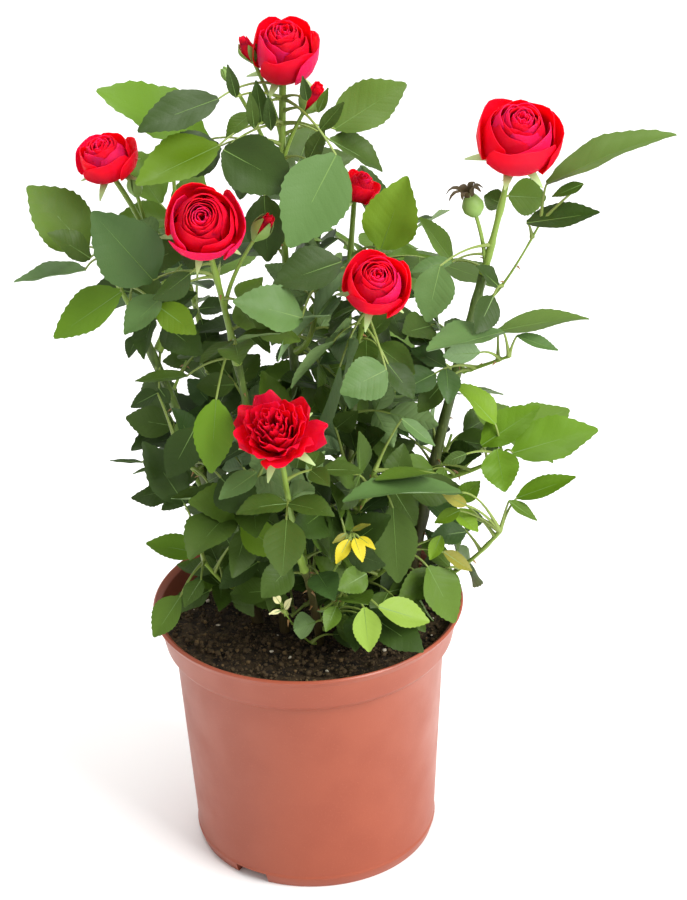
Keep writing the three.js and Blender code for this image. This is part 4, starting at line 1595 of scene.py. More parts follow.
class Space:
    """What stands already, with its owner's name."""

    def __init__(self) -> None:
        """Start empty."""
        self.taken: list[tuple[BVHTree, np.ndarray, np.ndarray, str]] = []

    def add(self, shape: Shape, owner: str) -> None:
        """Add a shape.

        Args:
            shape: Its points and faces.
            owner: Whose it is.
        """
        points, faces = shape
        tree = BVHTree.FromPolygons(points.tolist(), faces)
        self.taken.append((tree, points.min(axis=0), points.max(axis=0), owner))

    def is_free(self, shape: Shape, except_owners: Sequence[str] = ()) -> bool:
        """Test whether a shape touches nothing.

        Args:
            shape: Its points and faces.
            except_owners: Owners whose shapes it may touch.

        Returns:
            Whether it is clear.
        """
        points, faces = shape
        low, high = points.min(axis=0), points.max(axis=0)
        tree = BVHTree.FromPolygons(points.tolist(), faces)
        for other, other_low, other_high, owner in self.taken:
            if owner in except_owners or (other_low > high).any() or (other_high < low).any():
                continue
            if tree.overlap(other):
                return False
        return True


@dataclass
class Shoot:
    """A grown shoot: its row, its stem, the stalks of its buds and its leaves."""

    row: ShootRow
    stem: Curve
    facing: np.ndarray
    stalks: list[tuple[Curve, BudRow]] = field(default_factory=list)
    placed: list[LeafRow] = field(default_factory=list)
    leaves: list[Leaf] = field(default_factory=list)


@dataclass
class Rose:
    """The whole plant, grown by the rule: a leaf is turned until it is clear of all, or left out."""

    space: Space = field(default_factory=Space)
    shoots: list[Shoot] = field(default_factory=list)

    def cane_curve(self, row: CaneRow) -> Curve:
        """Draw a cane's line.

        Args:
            row: The cane.

        Returns:
            Its curve, from just under the soil to its tip.
        """
        start = np.array([row.foot[0], row.foot[1], RULE.soil_level - RULE.cane_spare], dtype=float)
        end = np.array(row.tip, dtype=float)
        above = np.array([start[0], start[1], (start[2] + end[2]) / 2])
        return Curve(start, lerp(lerp(start, end, 0.5), above, row.upright), end)

    def stem_curve(self, row: ShootRow) -> Curve:
        """Draw a shoot's stem, off the tip of its cane or out of its side.

        Args:
            row: The shoot.

        Returns:
            Its curve.
        """
        cane = CANES[row.cane]
        curve = self.cane_curve(cane)
        tangent, on_cane, end = curve.tangent(row.at), curve.point(row.at), np.array(row.tip, dtype=float)
        if row.at == 1:
            return sweep_to(on_cane + tangent * RULE.gap, tangent, end)
        side = end - on_cane
        side = unit(side - tangent * (side @ tangent))
        direction = unit(side + tangent * RULE.side_lean)
        out = lerp(cane.root, cane.end, row.at) + RULE.gap + RULE.shoot_root * RULE.side_lean
        start = on_cane + side * out
        return sweep_to(start, direction, end, RULE.pull if row.girth == 1 else RULE.thin_pull)

    def grow_stem(self, row: ShootRow) -> Shoot:
        """Grow a stem with its bloom and its buds, before any leaf.

        Args:
            row: The shoot.

        Returns:
            The shoot, without leaves.
        """
        stem = self.stem_curve(row)
        self.space.add(limb(stem, RULE.shoot_root, RULE.shoot_end, RULE.shoot_sides, RULE.shoot_steps),
                       f"{row.name} stem")
        facing = unit(np.array(row.facing, dtype=float)) if row.facing else stem.tangent(1)
        shoot = Shoot(row, stem, facing)
        if row.bloom:
            self.take_bloom(row, facing)
        for bud in row.buds:
            end, start = np.array(bud.place, dtype=float), stem.point(bud.at)
            direction = unit(unit(end - start) + stem.tangent(bud.at))
            stalk = sweep_to(start, direction, end)
            self.space.add(limb(stalk, RULE.stalk_root, RULE.stalk_end, 3, 3), row.name)
            rows = [(r * bud.radius, z * bud.radius) for r, z in BUD_ROWS]
            self.space.add(lathe(rows, 6, frame_of(stalk.tangent(1)), end), row.name)
            shoot.stalks.append((stalk, bud))
        return shoot

    def take_bloom(self, row: ShootRow, facing: np.ndarray) -> None:
        """Keep the room of a bloom and its sepals.

        Args:
            row: The shoot.
            facing: Where the bloom looks.
        """
        bloom, base, axes = row.bloom, np.array(row.tip, dtype=float), frame_of(facing)
        rows = [(r * bloom.radius, z * bloom.height) for r, z, _ in BLOOM_ROWS]
        lobes = [lobe for _, _, lobe in BLOOM_ROWS]
        self.space.add(lathe(rows, 2 * bloom.lobes, axes, base, lobes, bloom.lobes), row.name)
        for i in range(bloom.lobes):
            angle = math.radians(360 / bloom.lobes * (i + 0.5))
            outward = np.array([math.cos(angle), math.sin(angle), 0.0])
            along = axes @ unit(outward - UP * 0.1)
            sepal = leaflet_at(base, along, axes @ (UP + outward * 0.1), 0.95 * bloom.radius, 0.12,
                               width=0.3 * bloom.radius)
            self.space.add(sepal.solid(), row.name)

    def find_stems(self) -> None:
        """Give each leaflet of the photograph to the stem that its stalk reaches at the least cost."""
        fine = [row.name for row in FINE_SHOOTS]
        front = [shoot for shoot in self.shoots if not shoot.row.name.startswith("back")
                 and shoot.row.name not in fine]
        places = [float(at) for at in np.arange(HOME.step, 1 + HOME.step / 2, HOME.step)]
        for own in self.shoots:
            homes = [own] if own.row.name in fine else front
            for row in own.row.leaves:
                if row.foot is None:
                    own.placed.append(row)
                    continue
                costs = [
                    (HOME.cost(shoot.stem.point(at), row) + HOME.stranger * (shoot is not own), shoot, at)
                    for shoot in homes for at in places
                ]
                _, home, place = min(costs, key=lambda one: one[0])
                home.placed.append(replace(row, at=place))

    def dealt_leaves(self, shoot: Shoot, seed: int) -> list[tuple[LeafRow, float]]:
        """List a shoot's leaves: those with a place, then those dealt round the stem.

        Args:
            shoot: The shoot.
            seed: The seed of its spray.

        Returns:
            Each leaf's row, and how far each try for it strays.
        """
        row = shoot.row
        wanted = [(leaf, RULE.stray_placed) for leaf in shoot.placed]
        dice = Dice(seed)
        count, first = row.spray
        for i in range(count):
            at = lerp(RULE.spray_from, RULE.spray_to, (i + 0.5) / count)
            sway = dice.between(-RULE.spray_sway, RULE.spray_sway)
            azimuth, lift = math.radians(first + i * RULE.spray_turn + sway), dice.between(*RULE.spray_lift)
            away = away_at(azimuth, math.radians(lift)) * dice.between(*RULE.spray_reach)
            size = dice.between(*RULE.spray_size)
            wanted.append((LeafRow(at, tuple(shoot.stem.point(at) + away), size), RULE.stray_spray))
        return wanted

    def grow_leaf(self, shoot: Shoot, row: LeafRow, stray_by: float, seed: int) -> Leaf | None:
        """Grow one leaf where it is clear of all that stands: the best of several tries is kept.

        Args:
            shoot: The shoot that bears it.
            row: Where it should be and how large.
            stray_by: How much further each try strays, in degrees.
            seed: The seed of its tries.

        Returns:
            The leaf, or None where there is no room.
        """
        dice = Dice(seed)
        own = shoot.row.name
        node = shoot.stem.point(row.at)
        reach = np.array(row.tip, dtype=float) - node
        level = unit(np.array([-reach[1], reach[0], 0.0]))
        best: Leaf | None = None
        for attempt in range(RULE.attempts):
            stray = math.radians(stray_by * attempt)
            strayed = turned(reach, level, dice.between(-stray, stray))
            shrunk = 1 - RULE.shrink * attempt
            strayed = turned(strayed, UP, dice.between(-stray, stray)) * shrunk
            twist = dice.between(-RULE.twist, RULE.twist) * stray
            tries = compound_leaf(node, node + strayed, row.size * shrunk, row, twist, dice)
            # A leaf that the photograph shows may brush others with its stalk once half the tries are gone.
            is_strict = not row.foot or attempt < RULE.attempts // 2
            if is_strict and not self.has_room_for(tries.rib, own):
                continue
            clear = [one for one in tries.leaflets if self.space.is_free(one.solid(RULE.margin))]
            if not clear or clear[0] is not tries.leaflets[0]:
                continue
            if best and len(clear) <= len(best.leaflets):
                continue
            best = Leaf(tries.rib, clear, row)
            if len(clear) == len(tries.leaflets):
                break
        if best is None:
            return None
        best.tone = row.tone or Tone.MID
        self.space.add(limb(best.rib, LEAF.rib_root, LEAF.rib_end, 3, 2), own)
        for one in best.leaflets:
            self.space.add(one.solid(), own)
        return best

    def has_room_for(self, rib: Curve, own: str) -> bool:
        """Test whether a leaf's rib is clear of all but its own shoot, and further out of its own leaves too.

        Args:
            rib: The rib.
            own: The shoot's name.

        Returns:
            Whether it is clear.
        """
        root, end = LEAF.rib_root + RULE.gap, LEAF.rib_end + RULE.gap
        outer = limb(rib.beyond(LEAF.rib_clear), end, end, 3, 1)
        return (self.space.is_free(limb(rib, root, end, 3, 2), (f"{own} stem", own))
                and self.space.is_free(outer, (f"{own} stem",)))

    def take_node(self, name: str) -> None:
        """Keep the room of a CAD node.

        Args:
            name: The node.
        """
        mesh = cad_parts[name].data
        points = np.array([corner.co for corner in mesh.vertices]) / MM
        self.space.add((points, [tuple(face.vertices) for face in mesh.polygons]), name)

    def grow_pair(self, shoot: Shoot, leaf: Leaf, dice: Dice) -> None:
        """Add a smaller, second pair of leaflets where a leaf's rib is long enough and they are clear.

        Args:
            shoot: The shoot that bears the leaf.
            leaf: The leaf.
            dice: What varies it.
        """
        if len(leaf.leaflets) < 2:
            return
        end, first = leaf.leaflets[:2]
        rib_length = leaf.rib.length()
        place = 1 - (end.length * LEAF.pair_back + first.length * FILL.pair_back) / rib_length
        if place * rib_length < first.length * FILL.pair_foot:
            return
        pair = side_pair(leaf.rib, place, first.normal, first.length, FILL.pair_sway, FILL.pair_size, dice)
        for small in pair:
            if self.space.is_free(small.solid(FILL.pair_margin)):
                self.space.add(small.solid(), shoot.row.name)
                leaf.leaflets.append(small)

    def grow_twig(self, cane: str, number: int, dice: Dice) -> Shoot:
        """Grow a short, thin twig out of a cane's side, inside the crown.

        Args:
            cane: The cane.
            number: Which of its twigs it is.
            dice: What varies it.

        Returns:
            The twig, without leaves.
        """
        at = FILL.twig_from + FILL.twig_step * number + dice.between(-FILL.twig_sway, FILL.twig_sway)
        azimuth = math.radians(number * RULE.spray_turn + dice.between(0, 360))
        on_cane = self.cane_curve(CANES[cane]).point(at)
        out = away_at(azimuth, 0) * FILL.twig_reach
        tip = on_cane + out + UP * dice.between(*FILL.twig_rise)
        row = ShootRow(f"{cane} twig {number}", cane, at, tuple(tip), (), (0, math.degrees(azimuth)),
                       girth=FILL.twig_girth)
        return Shoot(row, self.stem_curve(row), unit(tip - on_cane))

    def fill(self) -> None:
        """Carry the growth on to finer twigs and smaller leaves, inside what stands already."""
        for index, shoot in enumerate(self.shoots):
            pairs = Dice(RULE.seed + 300 + index)
            for leaf in shoot.leaves:
                self.grow_pair(shoot, leaf, pairs)
        for index, name in enumerate(CANES):
            dice = Dice(RULE.seed + 600 + index)
            for number in range(FILL.twigs):
                twig = self.grow_twig(name, number, dice)
                if is_in_crown(twig.stem.end) and not shows_sky(twig.stem.end):
                    thin = limb(twig.stem, FILL.twig_root, FILL.twig_end, 4, 4)
                    self.space.add(thin, f"{twig.row.name} stem")
                    self.shoots.append(twig)
        tones = Dice(RULE.seed + 700)
        for index, shoot in enumerate(self.shoots):
            self.grow_small_leaves(shoot, index, tones)

    def grow_small_leaves(self, shoot: Shoot, index: int, tones: Dice) -> None:
        """Grow small leaves round a stem, where they show neither beside the crown nor in a window.

        Args:
            shoot: The shoot that bears them.
            index: Its number, which seeds them.
            tones: What deals their tones.
        """
        is_twig = shoot.row.girth < 1
        count = FILL.leaves_on_twig if is_twig else FILL.leaves_on_shoot
        dice = Dice(RULE.seed + 800 + index)
        for i in range(count):
            at = lerp(FILL.leaf_from, 1.0 if is_twig else FILL.leaf_to, (i + 0.5) / count)
            turn = shoot.row.spray[1] + FILL.leaf_turn + i * RULE.spray_turn
            azimuth = math.radians(turn + dice.between(-FILL.leaf_sway, FILL.leaf_sway))
            away = away_at(azimuth, math.radians(dice.between(*FILL.leaf_lift)))
            node = shoot.stem.point(at)
            tip = node + away * dice.between(*FILL.leaf_reach)
            size = dice.between(*FILL.leaf_size)
            if not is_in_crown(tip) or shows_sky(tip) or shows_sky(lerp(node, tip, 0.6)):
                continue
            row = LeafRow(at, tuple(tip), size, tones.pick(INNER_TONES), FILL.leaf_share)
            leaf = self.grow_leaf(shoot, row, FILL.leaf_stray, RULE.seed + 9000 + 100 * index + i)
            if leaf is not None:
                shoot.leaves.append(leaf)

    def open_sky(self) -> None:
        """Leave out the leaflets that would close a window of sky, and a leaf with its end leaflet."""
        for shoot in self.shoots:
            for leaf in shoot.leaves:
                if not leaf.row.foot:
                    leaf.leaflets = [one for one in leaf.leaflets if not closes_sky(one)]
            shoot.leaves = [leaf for leaf in shoot.leaves if leaf.leaflets and leaf.leaflets[0].is_end]

    def grow(self) -> None:
        """Grow the whole plant."""
        self.take_node("pot")
        self.take_node("soil")
        for name, row in CANES.items():
            cane = limb(self.cane_curve(row), row.root, row.end, RULE.cane_sides, RULE.cane_steps)
            self.space.add(cane, name)
        self.shoots = [self.grow_stem(row) for row in (*SHOOTS, *FINE_SHOOTS)]
        self.find_stems()
        for is_placed in (True, False):
            for index, shoot in enumerate(self.shoots):
                self.grow_leaves(shoot, RULE.seed + 1000 * index, is_placed)
        self.fill()
        self.open_sky()

    def grow_leaves(self, shoot: Shoot, seed: int, is_placed: bool) -> None:
        """Grow a shoot's leaves.

        Args:
            shoot: The shoot.
            seed: The seed of its spray.
            is_placed: Whether it is the turn of those with a place, or of those that are dealt.
        """
        tones = Dice(seed + 500)
        for i, (row, stray) in enumerate(self.dealt_leaves(shoot, seed)):
            if bool(row.tone) != is_placed:
                continue
            leaf = self.grow_leaf(shoot, row, stray, seed + 10 * i)
            if leaf is not None:
                leaf.tone = row.tone or tones.pick(SHOOT_TONES)
                shoot.leaves.append(leaf)
            elif is_placed:
                LOG.warning("%s: no room for the leaf at %s", shoot.row.name, row.tip)


# Leaves

@dataclass(frozen=True)
class LivingBlade:
    """A leaflet's surface as it grew: folded, each half puffed, wavy, twisted and curled.

    Attributes:
        leaflet: Where it is and how large.
        fold: How steeply its halves rise from the midrib.
        puff: How far each half swells.
        wave: How high the waves of its edge are, as a share of its half width.
        waves: How many waves there are.
        phase: Where they start.
        twist: How far its tip turns about the midrib, in radians.
        curl: How far its tip bends down, as a share of its length.
    """

    leaflet: Leaflet
    fold: float
    puff: float
    wave: float
    waves: float
    phase: float
    twist: float
    curl: float

    def point(self, t: float, s: float, half: float, lift: float) -> np.ndarray:
        """Give a point of the surface.

        Args:
            t: The share of the way from its root to its tip.
            s: The share of the half width, from edge to edge.
            half: Its half width there.
            lift: How far above the surface the point is.

        Returns:
            The point.
        """
        leaflet, angle, reach = self.leaflet, self.twist * t, abs(s)
        across = leaflet.across * math.cos(angle) + leaflet.normal * math.sin(angle)
        normal = leaflet.normal * math.cos(angle) - leaflet.across * math.sin(angle)
        rise = (reach * self.fold + 4 * reach * (1 - reach) * self.puff) * half
        swing = math.sin(self.waves * 2 * math.pi * t + self.phase + (s > 0) * 2.0)
        rise += reach ** 2 * self.wave * half * swing
        rise -= (leaflet.droop * t * t + self.curl * t ** 4) * leaflet.length
        middle = leaflet.root + leaflet.along * (leaflet.length * t)
        return middle + across * (half * s) + normal * (rise + lift)


@dataclass
class Foliage:
    """The leaves as they are: blades with toothed edges, midribs and stalks.

    Attributes:
        teeth: How many teeth each edge has.
        tooth_depth: How deep a tooth is, as a share of the half width there.
        tooth_out: How much of that stands out, and how much is cut in.
        tooth_lean: How far a tooth leans to the tip, as a share of its own length.
        blade_mm: How thick the midrib makes the blade.
        edge_share: How thick the rest of it is, as a share of that.
        side_veins: How many side veins each half has.
        vein_slant: How far they slant to the tip, as a share of the way to the edge.
        breadth: Its breadth as a share of the plain blade's.
        blunt: How near to its ends the blade is still as narrow as at them.
        narrowest: The half width of its ends.
        fold_more: Between what the fold strays from the plain blade's.
        puff: Between what each half swells.
        wave: Between what heights its edge waves, as shares of the half width.
        waves: Between how many waves the edge has.
        twist: How far its tip turns at most, in degrees.
        curl: Between what shares of its length its tip bends down.
        midrib: The midrib's radius at its foot and at its tip, and how deep it lies.
        stalk: The stalk's radius, how far it swells at its foot, and how much thinner it ends.
    """

    rose: Rose
    teeth: int = 11
    tooth_depth: float = 0.042
    tooth_out: tuple[float, float] = (0.4, 0.6)
    tooth_lean: float = 0.35
    blade_mm: float = 0.3
    edge_share: float = 0.7
    side_veins: float = 7.0
    vein_slant: float = 0.8
    breadth: float = 1.12
    blunt: float = 0.015
    narrowest: float = 0.35
    fold_more: tuple[float, float] = (-0.08, 0.2)
    puff: tuple[float, float] = (0.02, 0.07)
    wave: tuple[float, float] = (0.02, 0.09)
    waves: tuple[float, float] = (1.2, 2.4)
    twist: float = 9
    curl: tuple[float, float] = (-0.02, 0.1)
    midrib: tuple[float, float, float] = (0.3, 0.11, 0.12)
    stalk: tuple[float, float, float] = (0.52, 0.5, 0.14)
    blades: dict[Tone, Heap] = field(default_factory=lambda: {tone: Heap() for tone in Tone})
    midribs: Heap = field(default_factory=Heap)
    stalks: Heap = field(default_factory=Heap)

    def half_width(self, leaflet: Leaflet, t: float) -> float:
        """Give a blade's half width at a place.

        Args:
            leaflet: The leaflet.
            t: The share of the way to its tip.

        Returns:
            The half width.
        """
        widest_at = 0.8 if leaflet.is_end else 0.86
        inside = min(max(t, self.blunt), 1 - self.blunt)
        share = max(math.sin(math.pi * inside ** widest_at), 0.0) ** 0.85
        return max(leaflet.width * 0.5 * self.breadth * share, self.narrowest)

    def blade(self, leaflet: Leaflet, tone: Tone, dice: Dice) -> None:
        """Make one blade: its upper face, its under face and its midrib.

        Args:
            leaflet: Where it is and how large.
            tone: Its colours.
            dice: What varies it.
        """
        rows, columns = 2 * self.teeth, (-1.0, -0.5, 0.0, 0.5, 1.0)
        out, cut = self.tooth_out
        surface = LivingBlade(
            leaflet, fold=LEAF.fold + dice.between(*self.fold_more), puff=dice.between(*self.puff),
            wave=dice.between(*self.wave), waves=dice.between(*self.waves), phase=dice.between(0, 6.28),
            twist=math.radians(dice.between(-self.twist, self.twist)), curl=dice.between(*self.curl),
        )
        points, own_map = [], []

        def add_point(t: float, s: float, half: float, lift: float) -> None:
            """Add a point of the blade, with its place across and along the veins.

            Args:
                t: The share of the way along the leaflet.
                s: The share of the way across, from -1 to 1.
                half: Half of the width there.
                lift: How far the point stands off the blade.
            """
            points.append(surface.point(t, s, half, lift))
            vein = (t - abs(s) * half * self.vein_slant / leaflet.length) * self.side_veins
            own_map.append((s * half * 0.1, vein))

        for i in range(rows + 1):
            t = i / rows
            half = self.half_width(leaflet, t)
            for s in columns:
                at, wide = t, half
                if abs(s) == 1 and 0 < i < rows:
                    wide = half * (1 + (self.tooth_depth * out if i % 2 else -self.tooth_depth * cut))
                    at = t + (self.tooth_lean if i % 2 else 0.0) / rows
                add_point(at, s, wide, 0.0)
        upper = len(points)
        for i in range(rows + 1):
            t = i / rows
            half = self.half_width(leaflet, t)
            for s in columns[1:4]:
                add_point(t, s, half, -self.blade_mm * (1.0 if s == 0 else self.edge_share))

        def under(i: int, k: int) -> int:
            """Give the under face's corner at a row and column: the edges are shared with the upper face."""
            return i * 5 + k if k in (0, 4) else upper + i * 3 + k - 1

        faces, slots = [], []
        for i in range(rows):
            for k in range(4):
                faces.append((i * 5 + k, (i + 1) * 5 + k, (i + 1) * 5 + k + 1, i * 5 + k + 1))
                faces.append((under(i, k), under(i, k + 1), under(i + 1, k + 1), under(i + 1, k)))
                slots += [0, 1]
        faces.append((0, 1, 2, 3, 4, under(0, 3), under(0, 2), under(0, 1)))
        faces.append((*(rows * 5 + k for k in (4, 3, 2, 1, 0)), *(under(rows, k) for k in (1, 2, 3))))
        slots += [0, 0]
        self.blades[tone].add((np.array(points), faces), slots, np.array(own_map))
        foot, tip, sunk = self.midrib
        shares = [0.0, 0.25, 0.5, 0.75, 0.95]
        centres = [surface.point(share, 0.0, 0.0, -sunk) for share in shares]
        tangents = [unit(b - a) for a, b in zip(centres, centres[1:])]
        radii = np.array([[lerp(foot, tip, share)] * 4 for share in shares])
        self.midribs.add(tube(centres, [*tangents, tangents[-1]], radii))

    def leaf(self, leaf: Leaf, dice: Dice) -> None:
        """Make one leaf.

        Args:
            leaf: The grown leaf.
            dice: What varies it.
        """
        radius, swell, taper = self.stalk
        self.stalks.add(round_limb(leaf.rib, 8, 6, lambda at: radius + swell * (1 - at) ** 6 - taper * at))
        for leaflet in leaf.leaflets:
            self.blade(leaflet, leaf.tone, dice)

    def build(self) -> list[bpy.types.Object]:
        """Make all the leaves.

        Returns:
            The finished pieces.
        """
        for index, shoot in enumerate(self.rose.shoots):
            dice = Dice(9000 + index)
            for leaf in shoot.leaves:
                self.leaf(leaf, dice)
        pieces = []
        for tone, heap in self.blades.items():
            if not heap.count:
                continue
            (colour, under), name = tone.value, tone.name.lower()
            upper_skin = LeafSkin(f"rose leaf, {name}, upper face", colour, 0.5, grain_mm=0.7, relief_mm=0.05,
                                  specular=0.26)
            under_skin = LeafSkin(f"rose leaf, {name}, under face", under, 0.6, grain_mm=0.7, relief_mm=0.08,
                                  specular=0.3, vein_mm=0.08)
            skins = [upper_skin.material(), under_skin.material()]
            pieces.append(leafy(heap.piece(f"leaf_blades_{name}", skins)))
        pieces.append(leafy(self.midribs.piece("leaf_midribs", [MIDRIB.material()])))
        pieces.append(leafy(self.stalks.piece("leaf_stalks", [PETIOLE_SKIN.material()])))
        return pieces


# Stems, blooms and buds

@dataclass
class Stems:
    """The shoots' green stems, with a swelling at each leaf and a few prickles.

    Attributes:
        root: A stem's radius at its foot.
        end: Its radius at its tip, under a bloom and without one.
        swell: How far it swells at a leaf, and how quickly that ends.
        collar: How far it swells at its foot, and how quickly that ends.
        stalk: The radius of a bud's stalk at its foot and at its tip.
        prickle_mm: The shortest and the longest prickle.
        hook: How far a prickle bends down, as a share of its length.
        sunk_mm: How far its foot is sunk.
        on_stem: How many prickles a stem has.
        on_cane: How many prickles a cane has.
    """

    rose: Rose
    sides: int = 8
    steps: int = 22
    root: float = 1.3
    end: tuple[float, float] = (0.95, 0.55)
    swell: tuple[float, float] = (0.35, 22)
    collar: tuple[float, float] = (0.45, 14)
    stalk: tuple[float, float] = (0.8, 0.7)
    prickle_mm: tuple[float, float] = (1.4, 2.4)
    hook: float = 0.35
    sunk_mm: float = 0.3
    on_stem: int = 2
    on_cane: int = 7
    stems: Heap = field(default_factory=Heap)
    prickles: Heap = field(default_factory=Heap)

    def stem(self, shoot: Shoot) -> None:
        """Make one stem, with the stalks of its buds.

        Args:
            shoot: The shoot.
        """
        end = self.end[0] if shoot.row.bloom else self.end[1]
        (swell, swell_ends), (collar, collar_ends) = self.swell, self.collar

        def radius_at(share: float) -> float:
            """Taper the stem, with a swelling at each leaf and a collar at its foot.

            Args:
                share: The share of the way along.

            Returns:
                The radius there.
            """
            near = max((math.exp(-((share - leaf.at) * swell_ends) ** 2) for leaf in shoot.placed),
                       default=0.0)
            plain = lerp(self.root, end, share) + swell * near + collar * math.exp(-share * collar_ends)
            return plain * shoot.row.girth

        self.stems.add(round_limb(shoot.stem, self.steps, self.sides, radius_at))
        for stalk, _ in shoot.stalks:
            self.stems.add(limb(stalk, *self.stalk, 6, 8))

    def prickle(self, foot: np.ndarray, outward: np.ndarray, down: np.ndarray, size: float) -> None:
        """Make one prickle, a small flattened hook.

        Args:
            foot: Where it stands.
            outward: Away from the stem.
            down: Along the stem, towards its foot.
            size: Its length.
        """
        hooked = foot + outward * size + down * size * self.hook
        curve = Curve(foot - outward * self.sunk_mm, foot + outward * size * 0.7, hooked)
        shares = [0.0, 0.3, 0.65, 1.0]
        radii = np.array([[lerp(0.38 * size ** 0.5, 0.03, share ** 0.7)] * 5 for share in shares])
        self.prickles.add(tube([curve.point(share) for share in shares],
                               [curve.tangent(share) for share in shares], radii))

    def arm(self, curve: Curve, root: float, end: float, count: int, dice: Dice) -> None:
        """Deal prickles round a stem or cane.

        Args:
            curve: Its line.
            root: Its radius where it starts.
            end: Its radius where it ends.
            count: How many prickles it gets.
            dice: Where they stand.
        """
        for i in range(count):
            share = dice.between(0.12, 0.92)
            tangent = curve.tangent(share)
            side = unit(np.cross(tangent, np.array([0.3, 1.0, 0.2])))
            outward = turned(side, tangent, dice.between(0, 2 * math.pi))
            foot = curve.point(share) + outward * lerp(root, end, share)
            self.prickle(foot, outward, -tangent, dice.between(*self.prickle_mm))

    def build(self) -> list[bpy.types.Object]:
        """Make the stems and their prickles.

        Returns:
            The finished pieces.
        """
        for index, shoot in enumerate(self.rose.shoots):
            self.stem(shoot)
            self.arm(shoot.stem, self.root, 0.9, self.on_stem, Dice(4000 + index))
        for index, row in enumerate(CANES.values()):
            self.arm(self.rose.cane_curve(row), row.root, row.end, self.on_cane, Dice(4100 + index))
        return [
            leafy(self.stems.piece("shoot_stems", [SHOOT_SKIN.material()])),
            settle(self.prickles.piece("prickles", [PRICKLE.material()])),
        ]


@dataclass(frozen=True)
class PetalForm:
    """How a bloom of one kind holds its petals; each pair is for the outermost petal and for the heart's.

    Attributes:
        top: How high a petal's edge stands, as a share of the bloom's height.
        top_sway: How far that strays.
        belly: How far out its belly stands, as a share of the bloom's radius.
        closing: How slowly the bellies draw in: 1 is evenly.
        reach: How far it reaches round the bloom to each side, in degrees.
        edge: How broad its edge is, as a share of its breadth.
    """

    top: tuple[float, float]
    top_sway: float
    belly: tuple[float, float]
    closing: float
    reach: tuple[float, float]
    edge: float


# The old-fashioned bloom in front is flat and wide open, its petals short and narrow.
OPEN_FORM = PetalForm((0.45, 0.95), 0.07, (0.72, 0.1), 0.8, (30, 60), 0.4)
# The others are cups whose broad petals wrap one another ever tighter.
CUP_FORM = PetalForm((0.72, 0.98), 0.03, (0.98, 0.12), 0.9, (60, 88), 0.84)


